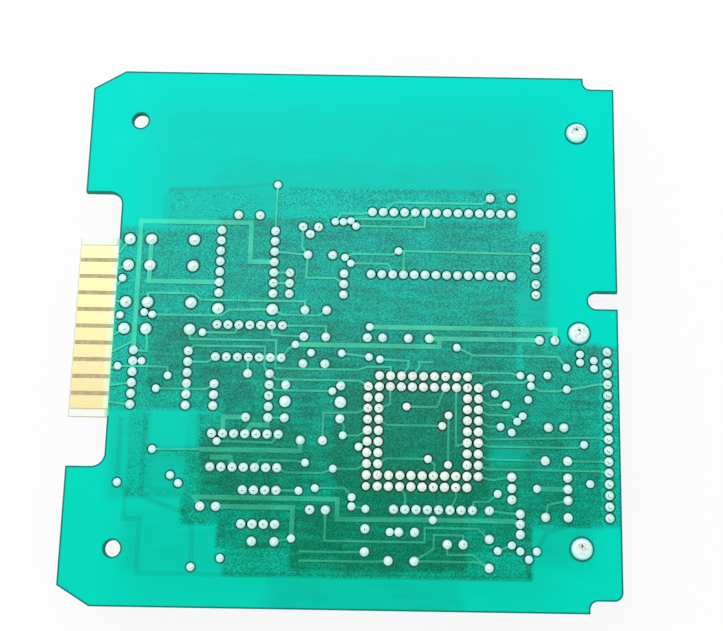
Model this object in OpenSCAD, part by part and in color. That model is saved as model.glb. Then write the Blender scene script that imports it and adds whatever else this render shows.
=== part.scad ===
// Plug-in processor board of a small controller, lying with its solder side up.
// All holes sit on a tenth-inch grid. The components hang below the laminate, and the board
// lies level on three posts along its far edge and on two relays beside its edge contacts.

/* [Board] */
// Width from the edge of the ears to the far edge
board_w = 126.2; // [125:0.1:135]
// Height of the board, along its row of edge contacts
board_h = 127; // [122:0.5:140]
// Thickness of the laminate
board_t = 1.6; // [0.8:0.1:2.4]
// Clear height below the laminate, which is the length of the posts and relays
stand_h = 12.7; // [12.3:0.1:20]

/* [Outline] */
// Height of each ear beside the contact tongue
ear_h = 31; // [26:0.5:34]
// Depth of the recesses between the ears and the tongue
recess_depth = 8.7; // [6:0.1:9]
// Radius of the recesses' inner corners
recess_r = 3; // [1:0.1:5]
// Width of the corner chamfers on the ears
chamfer_w = 7.5; // [3:0.1:9]
// Height of the corner chamfers on the ears
chamfer_h = 4.5; // [2:0.1:8]
// Width of the steps in the two far corners
step_w = 7.4; // [5:0.1:9]
// Height of the steps in the two far corners
step_h = 2.8; // [1.9:0.1:5]
// Radius of the steps' inner corners
step_r = 1.8; // [0.5:0.1:1.9]
// Radius of the rounded far corner
corner_r = 2; // [0.5:0.1:3]
// Width of the keying slot in the far edge
slot_w = 4; // [3:0.1:5]
// Length of the keying slot
slot_l = 6.9; // [4:0.1:7.5]
// Distance of the keying slot from the board's centre line
slot_up = 7.9; // [7:0.1:14]

/* [Edge contacts] */
// Width of the tongue that carries the contacts
tongue_w = 42.4; // [41:0.1:46]
// How far the tongue stands beyond the ears
tongue_proud = 0.4; // [0.2:0.1:2]
// Size of the bevel along the tongue's tip
tongue_bevel = 0.4; // [0.2:0.1:0.7]
// Number of contacts on each side
contact_count = 10; // [4:1:10]
// Distance between neighbouring contacts
contact_pitch = 3.96; // [3.5:0.01:4.1]
// Width of one contact
contact_w = 3; // [1.5:0.1:3.3]

/* [Copper and solder] */
// Thickness of the copper tracks and contacts
copper_t = 0.08; // [0.04:0.01:0.15]
// Width of the signal tracks
track_w = 0.5; // [0.3:0.05:0.5]
// Width of the supply tracks
supply_w = 1.1; // [0.8:0.05:1.3]
// Diameter of an ordinary solder joint
pad_d = 2; // [1.7:0.05:2]
// Diameter of the solder joints of thick pins
thick_pad_d = 2.7; // [2.1:0.05:2.7]
// Diameter of the solder on a via
via_d = 1.7; // [1.3:0.05:1.75]
// Height of the solder joints
solder_h = 0.9; // [0.5:0.05:1.1]
// How far the leads stand out of the laminate on the solder side
lead_out = 1.3; // [1.2:0.05:1.8]

/* [Holes and leads] */
// Diameter of the ordinary lead holes
hole_d = 1; // [0.9:0.05:1.2]
// Diameter of the ordinary leads
lead_d = 0.6; // [0.58:0.01:0.75]
// Diameter of the holes for thick pins
thick_hole_d = 1.3; // [1.1:0.05:1.6]
// Diameter of the relay pins and diode leads
thick_lead_d = 0.9; // [0.7:0.05:1]
// Diameter of the via holes
via_hole_d = 0.8; // [0.5:0.05:1]
// Diameter of the two mounting holes in the ears
mount_hole_d = 3.7; // [3:0.1:5]
// Distance of the mounting holes from the edge of the ears
mount_hole_inset = 11.85; // [11:0.05:13]
// Distance between the mounting holes
mount_hole_spacing = 101.6; // [98:0.1:110]

/* [Support posts] */
// Width of the hexagonal posts across their flats
post_af = 5.5; // [5:0.1:6]
// Distance of the posts from the far edge
post_inset = 9.15; // [8.8:0.05:9.6]
// Distance between neighbouring posts
post_spacing = 49.3; // [48:0.1:51]
// Diameter of the shank that goes through the laminate
post_shank_d = 3.2; // [2.6:0.1:3.8]
// Diameter of the solder that closes over the shank
post_solder_d = 4.5; // [4.2:0.1:5]
// Diameter of the tapped hole in the free end
post_tap_d = 2.5; // [2:0.1:3.3]
// Depth of the tapped hole
post_tap_l = 8; // [4:0.5:11]

/* [Relays] */
// Length of a relay
relay_l = 19.8; // [17.5:0.1:20]
// Width of a relay
relay_w = 10; // [8:0.1:11]
// Radius of the relay cover's upright edges
relay_r = 1; // [0.3:0.1:2]

/* [Processor] */
// Width of the processor's socket
cpu_socket_w = 30.5; // [28:0.1:31]
// Height of the socket's walls above the laminate
cpu_socket_h = 6; // [5:0.1:8]
// Width of the processor chip
cpu_chip_w = 24.2; // [24:0.05:24.3]
// Thickness of the processor chip
cpu_chip_t = 3.7; // [3.2:0.1:4.5]

/* [Dual-in-line chips] */
// Thickness of a dual-in-line chip
dip_t = 3.4; // [2.8:0.1:3.8]
// Width of a narrow dual-in-line chip
dip_w = 6.35; // [5.5:0.05:6.8]
// Width of the memory chip
memory_w = 13.7; // [12:0.1:14.2]
// Height of the memory chip's socket
memory_socket_h = 4.2; // [3.5:0.1:4.6]

/* [Small components] */
// Length of a resistor's body
resistor_l = 6.3; // [5:0.1:7.5]
// Diameter of a resistor's body
resistor_d = 2.3; // [1.8:0.1:2.4]
// Length of a diode's body
diode_l = 6.6; // [5:0.1:7.5]
// Diameter of a diode's body
diode_d = 2.7; // [2.2:0.1:3]
// Diameter of a disc capacitor
disc_d = 6; // [5.5:0.1:6.4]
// Thickness of a disc capacitor
disc_t = 2.1; // [1.6:0.1:2.2]
// Diameter of an electrolytic capacitor
can_d = 8; // [6.3:0.1:8.2]
// Height of an electrolytic capacitor
can_h = 11.3; // [8:0.1:11.6]
// Height of a transistor's body
transistor_h = 4.7; // [4:0.1:5.2]
// Height of a transistor's body above the laminate
transistor_up = 3; // [2:0.1:4]

/* [Hidden] */
pitch = 2.54; // step of the hole grid
fit = 0.05; // clearance of a part in its seat
round_fn = 48;
small_fn = 20;

// ---- Places on the board ------------------------------------------------------------
far_x = (board_w + tongue_proud) / 2;
ear_x = far_x - board_w;
tip_x = -far_x;
root_x = ear_x + recess_depth;
top_z = stand_h + board_t;

// The hole grid starts at the corner of the processor's pin pattern, and counts steps to
// the right and steps down the board.
grid_x = 5.45;
grid_y = -10.65;
function at(step) = [grid_x + step.x * pitch, grid_y - step.y * pitch];
function steps_to(place) = [(place.x - grid_x) / pitch, (grid_y - place.y) / pitch];

// ---- Pins of the components, in grid steps ------------------------------------------
cpu_side = 10;
function cpu_ring(s) = min(s.x, s.y, cpu_side - s.x, cpu_side - s.y);
function cpu_corner(s) = s.x % cpu_side == 0 && s.y % cpu_side == 0;
cpu_pins = [for (u = [0 : cpu_side], v = [0 : cpu_side])
    if (cpu_ring([u, v]) < 2 && !cpu_corner([u, v])) [u, v]];

// A dual-in-line chip: its first pin, its pins in a row, and the steps between its rows
memory = [[0, -15.5], 14, 6];
upper_logic = [[-14, -4.5], 7, 3];
lower_logic = [[-14, 5.5], 7, 3];
timer = [[-11, 10.5], 4, 3];
function dip_pins(chip) = [for (k = [0 : chip[1] - 1], row = [0, chip[2]]) chip[0] + [k, row]];
function dip_centre(chip) = at(chip[0] + [(chip[1] - 1) / 2, chip[2] / 2]);

// An axial part bridges five steps from its left hole
axial_span = 5;
resistors = concat(
    [for (v = [-13.5 : -7.5]) [-14, v]],
    [for (v = [-2 : 3]) [-21.5, v]],
    [for (v = [1 : 3]) [-14, v]],
    [for (v = [-9.5 : -7.5]) [-7.5, v]],
    [for (v = [1, 4]) [-7.5, v]],
    [for (v = [9 : 11]) [13, v]]);
diodes = [[-14, -6], [-7.5, 2.5]];
function axial_pins(places) = [for (s = places, end = [0, axial_span]) s + [end, 0]];

// A part with two leads: its first hole, the steps to its second one, and its direction
disc_capacitors = [
    [[-12.5, -15], 2, 0], [[-6, -6], 2, 0], [[-6, -3.5], 2, 0], [[-6, -1], 2, 0],
    [[-6, 6], 2, 0], [[-11, 0], 2, 0], [[-11, 4], 2, 0], [[16, 7.5], 2, 0],
    [[16, 12.5], 2, 0], [[-10, 15], 2, 0], [[11, -17], 2, 0], [[0, 13.75], 2, 90],
    [[3, 14], 1.4, 0]];
can_capacitors = [
    [[-0.2, -3.5], 1.4, 0], [[16.3, 4.5], 1.4, 0], [[7.3, 15], 1.4, 0],
    [[-14.7, 12], 1.4, 0], [[-4.95, 12.15], 1.4, 0], [[15.55, -3.5], 1.4, 0]];
film_capacitors = [[[-5.9, -11.25], 2.3, 0], [[2.1, 16.5], 2.3, 0]];
crystal = [[3.55, -3.5], 1.92, 0];
function along(part) = part[2] == 0 ? [1, 0] : [0, 1];
function radial_pins(parts) = [for (p = parts, end = [0, p[1]]) p[0] + end * along(p)];
function radial_centre(part) = at(part[0] + part[1] / 2 * along(part));

// A transistor: its three holes and the direction that its flat faces
transistors = [
    [[[15.25, -12.25], [15.25, -11.25], [15.25, -10.25]], 90],
    [[[13.75, 12.25], [13.75, 13.15], [13.75, 14.05]], 90],
    [[[-6.45, -13.95], [-5.75, -13.25], [-5, -13.95]], 0]];
transistor_pins = [for (t = transistors, s = t[0]) s];

network = [[2.5, 12], 8];
trimmer_pins = [[11, 12], [11, 14.5], [11, 17]];
header = [[21.7, -2.5], 16];
jumper = [[15.25, -8.75], 2];
function row_down(row) = [for (k = [0 : row[1] - 1]) row[0] + [0, k]];
function row_right(row) = [for (k = [0 : row[1] - 1]) row[0] + [k, 0]];

relay_columns = [-22.5, -20.5, -16.5];
upper_relay_rows = [-12.5, -10];
lower_relay_rows = [-6.5, -4];
relay_u = -19.3;
relay_pins = [for (u = relay_columns, v = concat(upper_relay_rows, lower_relay_rows)) [u, v]];

flat_pins = concat(dip_pins(upper_logic), dip_pins(lower_logic), dip_pins(timer),
    row_right(network));
round_pins = concat(cpu_pins, dip_pins(memory), axial_pins(resistors),
    radial_pins(disc_capacitors), radial_pins(can_capacitors), radial_pins(film_capacitors),
    radial_pins([crystal]), transistor_pins, trimmer_pins);
lead_pins = concat(flat_pins, round_pins);
thick_pins = concat(relay_pins, axial_pins(diodes));
post_pins = concat(row_down(header), row_down(jumper));

vias = [
    // beside the edge contacts and the relays
    [-22.95, -8.75], [-22.95, -5.25], [-22.85, -0.5], [-20.75, -5.55], [-20, -5.35],
    [-20.7, -1], [-18.25, 0.3], [-19.25, 1.5], [-19.25, 7], [-17.5, 9.3], [-16.75, 10],
    [-22.2, 10], [-15.25, 17.3], [-12.7, 16.5], [-15.3, -3.75], [-13.5, 6.2],
    // above and around the memory chip
    [-8.95, -18], [-3.45, -14.5], [-2.7, -14.5], [-2, -14.6], [-1.5, -14.1],
    [-2.45, -11.05], [-1.9, -10.5], [2.5, -11.75],
    // between the logic chips and the processor
    [-6.75, -2.75], [-5.3, -2], [-2.5, -2], [-3.25, 1.5], [-2.2, 5.5], [-3, 8.5],
    [-5.5, 8], [-4.55, 10.25], [-6, 10.5], [-0.75, 6.5], [-1.25, 11], [-1.25, 11.8],
    [-6.5, 14.7], [0, -4.5], [0, -1.7], [1, -1.5], [8, -2.7], [0, 12], [6, 12.9],
    [2.2, 14], [0, 10],
    // inside the processor's pattern
    [3.5, 2.8], [7.3, 3.55], [6.75, 4.5], [5.5, 7.5], [7.3, 8],
    // between the processor and the header
    [19.25, -2.25], [19.25, -1.5], [20.5, -1.7], [20.5, -0.95], [18, -1], [13.8, -0.2],
    [14.75, 0], [14.75, 0.75], [16.25, -0.25], [18, 1], [14.5, 2], [11.5, 1.5],
    [12.5, 2.5], [14, 3.5], [13.5, 4], [12, 4.5], [13, 5], [19.5, 6], [20, 9.5],
    [15.25, 10], [11.75, 10.5], [13, 15], [11.75, 15.5], [13.75, 15.5], [15.2, 15.5],
    [14.5, 16.2]];

// ---- Sizes of the leads and their joints --------------------------------------------
square_pin = 0.64;
square_pin_d = square_pin * sqrt(2) + 0.02;
post_pad_d = 2;
lead_t = 0.25;
lead_w = 0.5;
square_lead = lead_d / sqrt(2);
lead_end = -board_t - lead_out;
bend_r = 0.9;

function is_one_of(s, places) = len([for (p = places) if (norm(p - s) < 0.05) p]) > 0;
function joint_d(s) =
    is_one_of(s, vias) ? via_d :
    is_one_of(s, thick_pins) ? thick_pad_d :
    is_one_of(s, post_pins) ? post_pad_d :
    is_one_of(s, lead_pins) ? pad_d : 0;

// ---- Tracks: each is a chain of grid steps, and stops at the joints it runs to ------
function contact_y(i) = (contact_count - 1) / 2 * contact_pitch - i * contact_pitch;
contact_targets = [[-22.5, -12.5], [-22.5, -10], [-22.95, -8.75], [-22.5, -6.5],
    [-22.95, -5.25], [-22.5, -4], [-21.55, -2.85], [-22.85, -0.5], [-21.5, 1], [-21.5, 3]];
contact_tracks = [for (i = [0 : min(contact_count, len(contact_targets)) - 1])
    let (start = steps_to([root_x, contact_y(i)]))
    [start, start + [0.15, 0], contact_targets[i]]];

supply_tracks = [
    [[-21.5, -2], [-21.55, -14.25], [-11.25, -14.25], [-11.25, -10.5], [-9, -10.5]],
    [[-20.5, -12.5], [-20.5, -10]],
    [[-20.5, -10], [-20.5, -8.5], [-14, -8.5]],
    [[0, -4.5], [17, -4.5], [16.95, -3.5]],
    [[-6.75, -2.75], [6.4, -2.75], [6.4, -3.5]],
    [[5.47, -3.5], [15.55, -3.5]],
    [[-14.7, 12], [-15.2, 11.2], [-2.5, 11.2], [-2.5, 12.95], [6, 12.9]],
    [[6, 12.9], [13.1, 12.9], [13.75, 13.15]],
    [[-13.3, 12], [-6.45, 12], [-6.5, 14.7]],
    [[-15, 6.95], [-6, 6.95], [-6, 6]],
    [[-11, 4], [-13, 4], [-13, 5.5]],
    [[-9, 4], [-9, 4.7], [-10.5, 4.7], [-11, 5.5]],
    [[15.25, 10], [18, 10]],
    [[-12, 8.5], [-12.2, 7.65], [-14, 7.65]]];

signal_tracks = [
    // from the relays to the logic
    [[-20.5, -6.5], [-20.5, -7.4], [-16.3, -7.4], [-15.6, -6.8], [-6, -6.8], [-6, -6]],
    [[-20, -5.35], [-13.7, -5.35], [-12.9, -5.9], [-9, -6]],
    [[-9, -6], [-8, -5.5], [-4.7, -5.5], [-4, -6]],
    [[-8, -4.5], [-4, -4.5], [-4, -3.5]],
    [[-15.3, -3.75], [-12.3, -3.75], [-12, -4.5]],
    [[-9, -4.5], [-8.9, -3.6], [-6, -3.5]],
    [[-20.5, -4], [-20.3, -2.8], [-20.3, -1.9], [-21.5, -2]],
    [[-16.5, -4], [-16.4, -3.1], [-8.5, -3.1], [-8.5, -0.5], [-1, -0.5], [-0.1, -0.8], [2, -0.8],
        [2, 0]],
    [[-16.5, -2], [-16, -2.5], [-9.5, -2.5], [-9.5, -0.6], [-9, 0]],
    [[-8, -1.5], [-7.4, -2.3], [-6.75, -2.75]],
    [[-16.5, -1], [-14.7, -1], [-14, -1.5]],
    [[-22.85, -0.5], [-18.3, -0.5], [-18.25, 0.3]],
    [[-19.25, 1.5], [-14.7, 1.5], [-14, 1]],
    [[-9, 0], [-8.4, 0.5], [-0.8, 0.5], [0, 1]],
    [[-9, 1], [-8.4, 1.5], [-3.25, 1.5]],
    [[-11, -1.5], [-11, 0]],
    [[-9, 4], [-7.5, 4]],
    [[-2.5, -2], [0, -1.7]],
    // around the resistors and the memory
    [[-8.95, -18], [-9, -13.5]],
    [[-9, -9.5], [-7.5, -9.5]],
    [[-9, -8.5], [-7.5, -8.5]],
    [[-9, -11.5], [-5.9, -11.25]],
    [[-6.45, -13.95], [-6.45, -11.9], [-5.9, -11.25]],
    [[-5.9, -11.25], [-6, -9.05], [-3.3, -9.05], [-2.5, -8.5]],
    [[-3.45, -14.5], [-2.9, -15.3], [-0.9, -15.3], [0, -15.5]],
    [[-2, -14.6], [-1.6, -14.8], [3.3, -14.8], [4, -15.5]],
    [[-1.5, -14.1], [4.9, -14.1], [5, -15.5]],
    [[11, -17], [10.3, -16.45], [2, -16.45], [1, -15.5]],
    [[-2.45, -11.05], [-1.8, -11.4], [2, -11.4], [2.5, -11.75]],
    [[-1.9, -10.5], [1.6, -10.5], [2, -9.5]],
    [[2.5, -11.75], [14.6, -11.65], [15.25, -11.25]],
    [[3, -11.7], [3, -9.5]],
    // around the processor
    [[1, -1.5], [3.6, -1.4], [3.6, -0.8], [3, 0]],
    [[5.9, -1.3], [4.6, -1.3], [4.6, -0.8], [4, 0]],
    [[3.5, 2.8], [6.3, 2.8], [6.6, 1.9], [7, 1]],
    [[1, 4], [1.8, 4.5], [6.75, 4.5]],
    [[7.3, 3.55], [7.3, 8]],
    [[9, 6], [8, 6.3], [7.95, 2.6], [8, 1]],
    [[1, 8], [1.8, 7.5], [5.5, 7.5]],
    [[5.5, 7.5], [6.1, 8], [6, 9]],
    [[2, 1], [2, 2.6], [1, 3]],
    [[-4, 6], [-4, 3.5], [-0.9, 3.4], [0, 3]],
    [[-2.2, 5.5], [-0.8, 5.5], [0, 5]],
    [[-2.2, 5.5], [-2.1, 4.7], [-2.5, 4]],
    [[-3, 8.5], [-0.9, 8.5], [0, 8]],
    [[-0.75, 6.5], [0, 6]],
    [[10, 1], [10.9, 0.45], [14.1, 0.45], [14.75, 0]],
    [[10, 2], [11, 2.55], [12.5, 2.5]],
    [[10, 3], [10.9, 3.45], [13, 3.45], [13.5, 4]],
    [[10, 4], [10.9, 4.5], [12, 4.5]],
    [[10, 5], [10.8, 5.65], [20.4, 5.35], [21.7, 5.5]],
    [[10, 6], [11, 6.3], [18.8, 6.3], [19.5, 6]],
    [[10, 7], [10.8, 7.45], [16, 7.5]],
    [[18, 7.5], [20.5, 7.5], [21.7, 7.5]],
    [[10, 8], [10.8, 8.35], [20.7, 8.35], [21.7, 8.5]],
    [[10, 9], [11.3, 9.3], [13, 9]],
    [[9, 0], [9.6, -0.4], [12.9, -0.4], [13.8, -0.2]],
    [[8, -2.7], [9.5, -2], [17.2, -2], [18, -1]],
    [[14.75, 0.75], [15.6, 1.2], [17.2, 1.2], [18, 1]],
    [[18, 1], [18.9, 0.9], [20.8, 0.5], [21.7, 0.5]],
    // between the lower chips and the processor
    [[-13.5, 6.2], [-8.5, 6.25], [-8, 5.5]],
    [[-19.25, 7], [-14.8, 6.95]],
    [[-10, 8.5], [-9.6, 7.85], [-6.4, 7.85], [-5.5, 8]],
    [[-8, 8.5], [-7.2, 8.9], [-3.9, 8.9], [-3, 8.5]],
    [[-8, 10.5], [-6, 10.5]],
    [[-4.55, 10.25], [-1.9, 10.2], [-1.25, 11]],
    [[-1.25, 11.8], [0, 12]],
    [[8, 10], [8.05, 10.9], [7.5, 12]],
    [[3, 10], [3.5, 10.7], [3.5, 12]],
    [[9.5, 12], [9.6, 11.25], [11, 11.2], [11.75, 10.5]],
    [[18, 11], [16.2, 11.4], [16, 12.5]],
    [[11, 12], [12.6, 12.2], [13.75, 12.25]],
    [[-3.55, 12.15], [-3.55, 14.85], [5.3, 14.85], [5.3, 13.6], [10, 13.6], [11, 14.5]],
    [[8.7, 15], [8.7, 14.2], [6.1, 14.2], [6.1, 15.4], [4.4, 16.5]],
    [[7.3, 15], [7.3, 15.9], [9.6, 15.9], [11, 17]],
    [[-5.8, 15.8], [-2, 15.8], [0, 15.75]],
    [[-5.8, 16.6], [1, 16.6], [2.1, 16.5]],
    [[-8, 15], [-6.5, 14.7]],
    [[13, 15], [11.75, 15.5]],
    [[4.4, 16.5], [10, 16.5], [11, 17]]];

component_side_routes = [
    [[-22.2, 4.2], [-22.2, 10]],
    [[-22.2, 10], [-21.4, 10.8], [-21.4, 13.2], [-20, 13.2], [-20, 17.9], [14.5, 17.9], [14.5, 16.2]],
    [[-20, 3.8], [-20, 11.2], [-16, 12.6], [-15.3, 14], [-15.25, 17.3]],
    [[-8.95, -18], [-18.8, -17.4], [-19.4, -16.8], [-19.4, -14.5]],
    [[0, -17.4], [9, -17.6], [10, -17.2]],
    [[1, 3], [2.6, 2.9], [3.5, 2.8]],
    [[15.2, 15.5], [16, 13.9], [18, 13.2], [20, 13.2]]];

// ---- The laminate -------------------------------------------------------------------
module rounded_rectangle(w, h, r) {
    for (x = [-1, 1], y = [-1, 1])
        translate([x * (w / 2 - r), y * (h / 2 - r)])
            circle(r, $fn = round_fn);
    square([w - 2 * r, h], center = true);
    square([w, h - 2 * r], center = true);
}

module ear_recess() {
    // from beyond the ears' edge to the root of the tongue
    opening = board_h - 2 * ear_h;
    reach = 2 * recess_r;
    translate([root_x - (recess_depth + reach) / 2, 0])
        rounded_rectangle(recess_depth + reach, opening, recess_r);
}

module ear_chamfer(side) {
    polygon([
        [ear_x - 1, side * (board_h / 2 - chamfer_h) - side * chamfer_h / chamfer_w],
        [ear_x + chamfer_w + 1, side * (board_h / 2 + chamfer_h / chamfer_w)],
        [ear_x - 1, side * (board_h / 2 + chamfer_h)]]);
}

module corner_step(side) {
    // a step with a rounded inner corner, cut from one of the far corners
    translate([far_x - step_w / 2 + step_r, side * (board_h / 2 - step_h / 2 + step_r)])
        rounded_rectangle(step_w + 2 * step_r, step_h + 2 * step_r, step_r);
}

module lower_corner_round() {
    edge_y = step_h - board_h / 2;
    difference() {
        translate([far_x - corner_r, edge_y - 1])
            square([corner_r + 1, corner_r + 1]);
        translate([far_x - corner_r, edge_y + corner_r])
            circle(corner_r, $fn = round_fn);
    }
}

module keying_slot() {
    translate([far_x - slot_l + slot_w / 2, slot_up])
        circle(d = slot_w, $fn = round_fn);
    translate([far_x - slot_l + slot_w / 2, slot_up - slot_w / 2])
        square([slot_l, slot_w]);
}

module board_outline() {
    difference() {
        translate([ear_x, -board_h / 2])
            square([board_w, board_h]);
        ear_recess();
        for (side = [-1, 1]) {
            ear_chamfer(side);
            corner_step(side);
        }
        lower_corner_round();
        keying_slot();
    }
    translate([tip_x, -tongue_w / 2])
        square([root_x - tip_x + recess_r, tongue_w]);
}

module drill(places, d) {
    for (s = places)
        translate(at(s))
            circle(d = d, $fn = small_fn);
}

module mounting_holes() {
    for (side = [-1, 1])
        translate([ear_x + mount_hole_inset, side * mount_hole_spacing / 2])
            circle(d = mount_hole_d, $fn = round_fn);
}

function post_place(k) = [far_x - post_inset, k * post_spacing];

module tongue_bevels() {
    for (side = [0, 1])
        translate([tip_x, 0, stand_h + side * board_t])
            rotate([90, 0, 0])
                linear_extrude(tongue_w + 2, center = true)
                    polygon([[-1, 0], [-1, (1 - 2 * side) * (tongue_bevel + 1)],
                        [0, (1 - 2 * side) * tongue_bevel], [tongue_bevel, 0],
                        [tongue_bevel, (2 * side - 1)], [-1, (2 * side - 1)]]);
}

module laminate() {
    color("mediumseagreen")
        difference() {
            translate([0, 0, stand_h])
                linear_extrude(board_t)
                    difference() {
                        board_outline();
                        mounting_holes();
                        drill(lead_pins, hole_d);
                        drill(thick_pins, thick_hole_d);
                        drill(post_pins, thick_hole_d);
                        drill(vias, via_hole_d);
                        for (k = [-1 : 1])
                            translate(post_place(k))
                                circle(d = post_shank_d, $fn = round_fn);
                    }
            tongue_bevels();
        }
}

// ---- Copper -------------------------------------------------------------------------
function stopped(from, towards, d) = from + d / 2 * (towards - from) / norm(towards - from);

function side_of(a, b) = [a.y - b.y, b.x - a.x] / norm(b - a);
function mitre(points, i) =
    let (last = len(points) - 1)
    let (before = side_of(points[max(i, 1) - 1], points[max(i, 1)]))
    let (after = side_of(points[min(i, last - 1)], points[min(i, last - 1) + 1]))
    (before + after) / (1 + before * after);

module track(chain, w) {
    // one band with mitred corners, from joint to joint
    last = len(chain) - 1;
    middle = [for (s = chain) at(s)];
    points = [for (i = [0 : last])
        i == 0 ? stopped(middle[0], middle[1], joint_d(chain[0])) :
        i == last ? stopped(middle[last], middle[last - 1], joint_d(chain[last])) : middle[i]];
    polygon(concat(
        [for (i = [0 : last]) points[i] + w / 2 * mitre(points, i)],
        [for (i = [last : -1 : 0]) points[i] - w / 2 * mitre(points, i)]));
}

module solder_side_tracks() {
    color("lightseagreen")
        translate([0, 0, top_z])
            linear_extrude(copper_t) {
                for (chain = supply_tracks)
                    track(chain, supply_w);
                for (chain = signal_tracks)
                    track(chain, track_w);
                for (chain = contact_tracks)
                    track(chain, track_w);
            }
}

module component_side_tracks() {
    color("lightseagreen")
        translate([0, 0, stand_h - copper_t])
            linear_extrude(copper_t)
                for (chain = component_side_routes)
                    track(chain, supply_w);
}

module contact_row(z) {
    for (i = [0 : contact_count - 1])
        translate([tip_x + tongue_bevel, contact_y(i) - contact_w / 2, z])
            cube([root_x - tip_x - tongue_bevel, contact_w, copper_t]);
}

module solder_side_contacts() {
    color("khaki")
        contact_row(top_z);
}

module component_side_contacts() {
    color("khaki")
        contact_row(stand_h - copper_t);
}

// ---- Solder -------------------------------------------------------------------------
module solder_joint(pad, hole, lead) {
    // a filled hole and a hollow-sided cone around the lead, measured from the laminate's top
    foot = copper_t;
    climb = pad / 2 - lead / 2;
    rotate_extrude($fn = small_fn)
        polygon([
            [lead / 2, -board_t], [hole / 2, -board_t], [hole / 2, 0], [pad / 2, 0],
            [pad / 2, foot], [lead / 2 + 0.6 * climb, foot + 0.4 * (solder_h - foot)],
            [lead / 2 + 0.25 * climb, foot + 0.75 * (solder_h - foot)],
            [lead / 2 + 0.1 * climb, solder_h], [lead / 2, solder_h]]);
}

module solder_joints_at(places, pad, hole, lead) {
    for (s = places)
        translate([each at(s), top_z])
            solder_joint(pad, hole, lead);
}

module solder_joints() {
    color("gainsboro") {
        solder_joints_at(lead_pins, pad_d, hole_d, lead_d);
        solder_joints_at(thick_pins, thick_pad_d, thick_hole_d, thick_lead_d);
        solder_joints_at(post_pins, post_pad_d, thick_hole_d, square_pin_d);
    }
}

module filled_via() {
    dome = solder_h / 2;
    rotate_extrude($fn = small_fn)
        polygon([[0, -board_t], [via_hole_d / 2, -board_t], [via_hole_d / 2, 0], [via_d / 2, 0],
            [via_d / 2, copper_t], [0.7 * via_d / 2, 0.75 * dome], [0.35 * via_d / 2, dome],
            [0, dome]]);
}

module via_solder() {
    color("gainsboro")
        for (s = vias)
            translate([each at(s), top_z])
                filled_via();
}

// ---- Support posts ------------------------------------------------------------------
post_shank_out = 0.4;
post_dome = 1.2;

module support_post(k) {
    color("goldenrod")
        translate(post_place(k))
            difference() {
                union() {
                    cylinder(h = stand_h, d = post_af / cos(30), $fn = 6);
                    cylinder(h = top_z + post_shank_out, d = post_shank_d, $fn = round_fn);
                }
                translate([0, 0, -1])
                    cylinder(h = post_tap_l + 1, d = post_tap_d, $fn = round_fn);
            }
}

module upper_support_post() { support_post(1); }
module middle_support_post() { support_post(0); }
module lower_support_post() { support_post(-1); }

module post_solder() {
    shank = post_shank_d / 2;
    edge = post_solder_d / 2;
    color("gainsboro")
        for (k = [-1 : 1])
            translate([each post_place(k), top_z])
                rotate_extrude($fn = round_fn)
                    polygon([[0, post_shank_out], [shank, post_shank_out], [shank, 0], [edge, 0],
                        [0.98 * edge, 0.35 * post_dome], [0.85 * edge, 0.65 * post_dome],
                        [0.6 * edge, 0.9 * post_dome], [0.3 * edge, post_dome], [0, post_dome]]);
}

// ---- Parts on the component side, drawn with +z pointing away from the laminate ------
module component_side() {
    translate([0, 0, stand_h])
        mirror([0, 0, 1])
            children();
}

module straight_lead(s, top, d = lead_d) {
    translate([each at(s), lead_end])
        cylinder(h = top - lead_end, d = d, $fn = small_fn);
}

module flat_lead(s, top) {
    translate([each at(s) - [lead_w, lead_t] / 2, lead_end])
        cube([lead_w, lead_t, top - lead_end]);
}

// ---- Relays -------------------------------------------------------------------------
relay_base_z = 0.2;
relay_cover_z = 0.7;

module relay_cover(rows) {
    color("darkorange")
        component_side()
            translate([each at([relay_u, (rows[0] + rows[1]) / 2]), relay_cover_z])
                linear_extrude(stand_h - relay_cover_z)
                    rounded_rectangle(relay_l, relay_w, relay_r);
}

module upper_relay_cover() { relay_cover(upper_relay_rows); }
module lower_relay_cover() { relay_cover(lower_relay_rows); }

module relay_bases() {
    rim = 0.5;
    color("dimgray")
        component_side()
            for (rows = [upper_relay_rows, lower_relay_rows])
                translate([each at([relay_u, (rows[0] + rows[1]) / 2]), relay_base_z])
                    linear_extrude(relay_cover_z - relay_base_z)
                        rounded_rectangle(relay_l - 2 * rim, relay_w - 2 * rim, relay_r);
}

module relay_leads() {
    color("silver")
        component_side()
            for (s = relay_pins)
                straight_lead(s, relay_base_z, thick_lead_d);
}

// ---- Processor and its socket -------------------------------------------------------
cpu_centre = at([cpu_side, cpu_side] / 2);
cpu_lead_pitch = pitch / 2;
cpu_leads = 17; // on each side
cpu_lead_out = 0.45;
cpu_lead_face = cpu_chip_w / 2 + cpu_lead_out;
cpu_contact_t = 0.25;
cpu_contact_face = cpu_lead_face + fit;
cpu_well = cpu_contact_face + fit; // half width of the well
cpu_rim = cpu_socket_w / 2 - cpu_well; // thickness of the wall round the well
cpu_pin_out = cpu_side / 2 * pitch;
cpu_slot = 0.8;
// a slot takes its contact, and the pin below it where the chip is small
cpu_slot_depth = max(2 * cpu_contact_t, cpu_pin_out + lead_d / 2 + fit - cpu_well);
cpu_stand_off = 0.3;
cpu_floor_z = 1.8;
cpu_floor_t = 0.8;
cpu_window = 14;
cpu_foot_z = 1;
cpu_chip_z = cpu_floor_z + cpu_floor_t + 0.5;
cpu_lead_z = cpu_chip_z + cpu_chip_t / 2;

module each_cpu_side() {
    component_side()
        translate(cpu_centre)
            for (turn = [0 : 3])
                rotate(90 * turn)
                    children();
}

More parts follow.
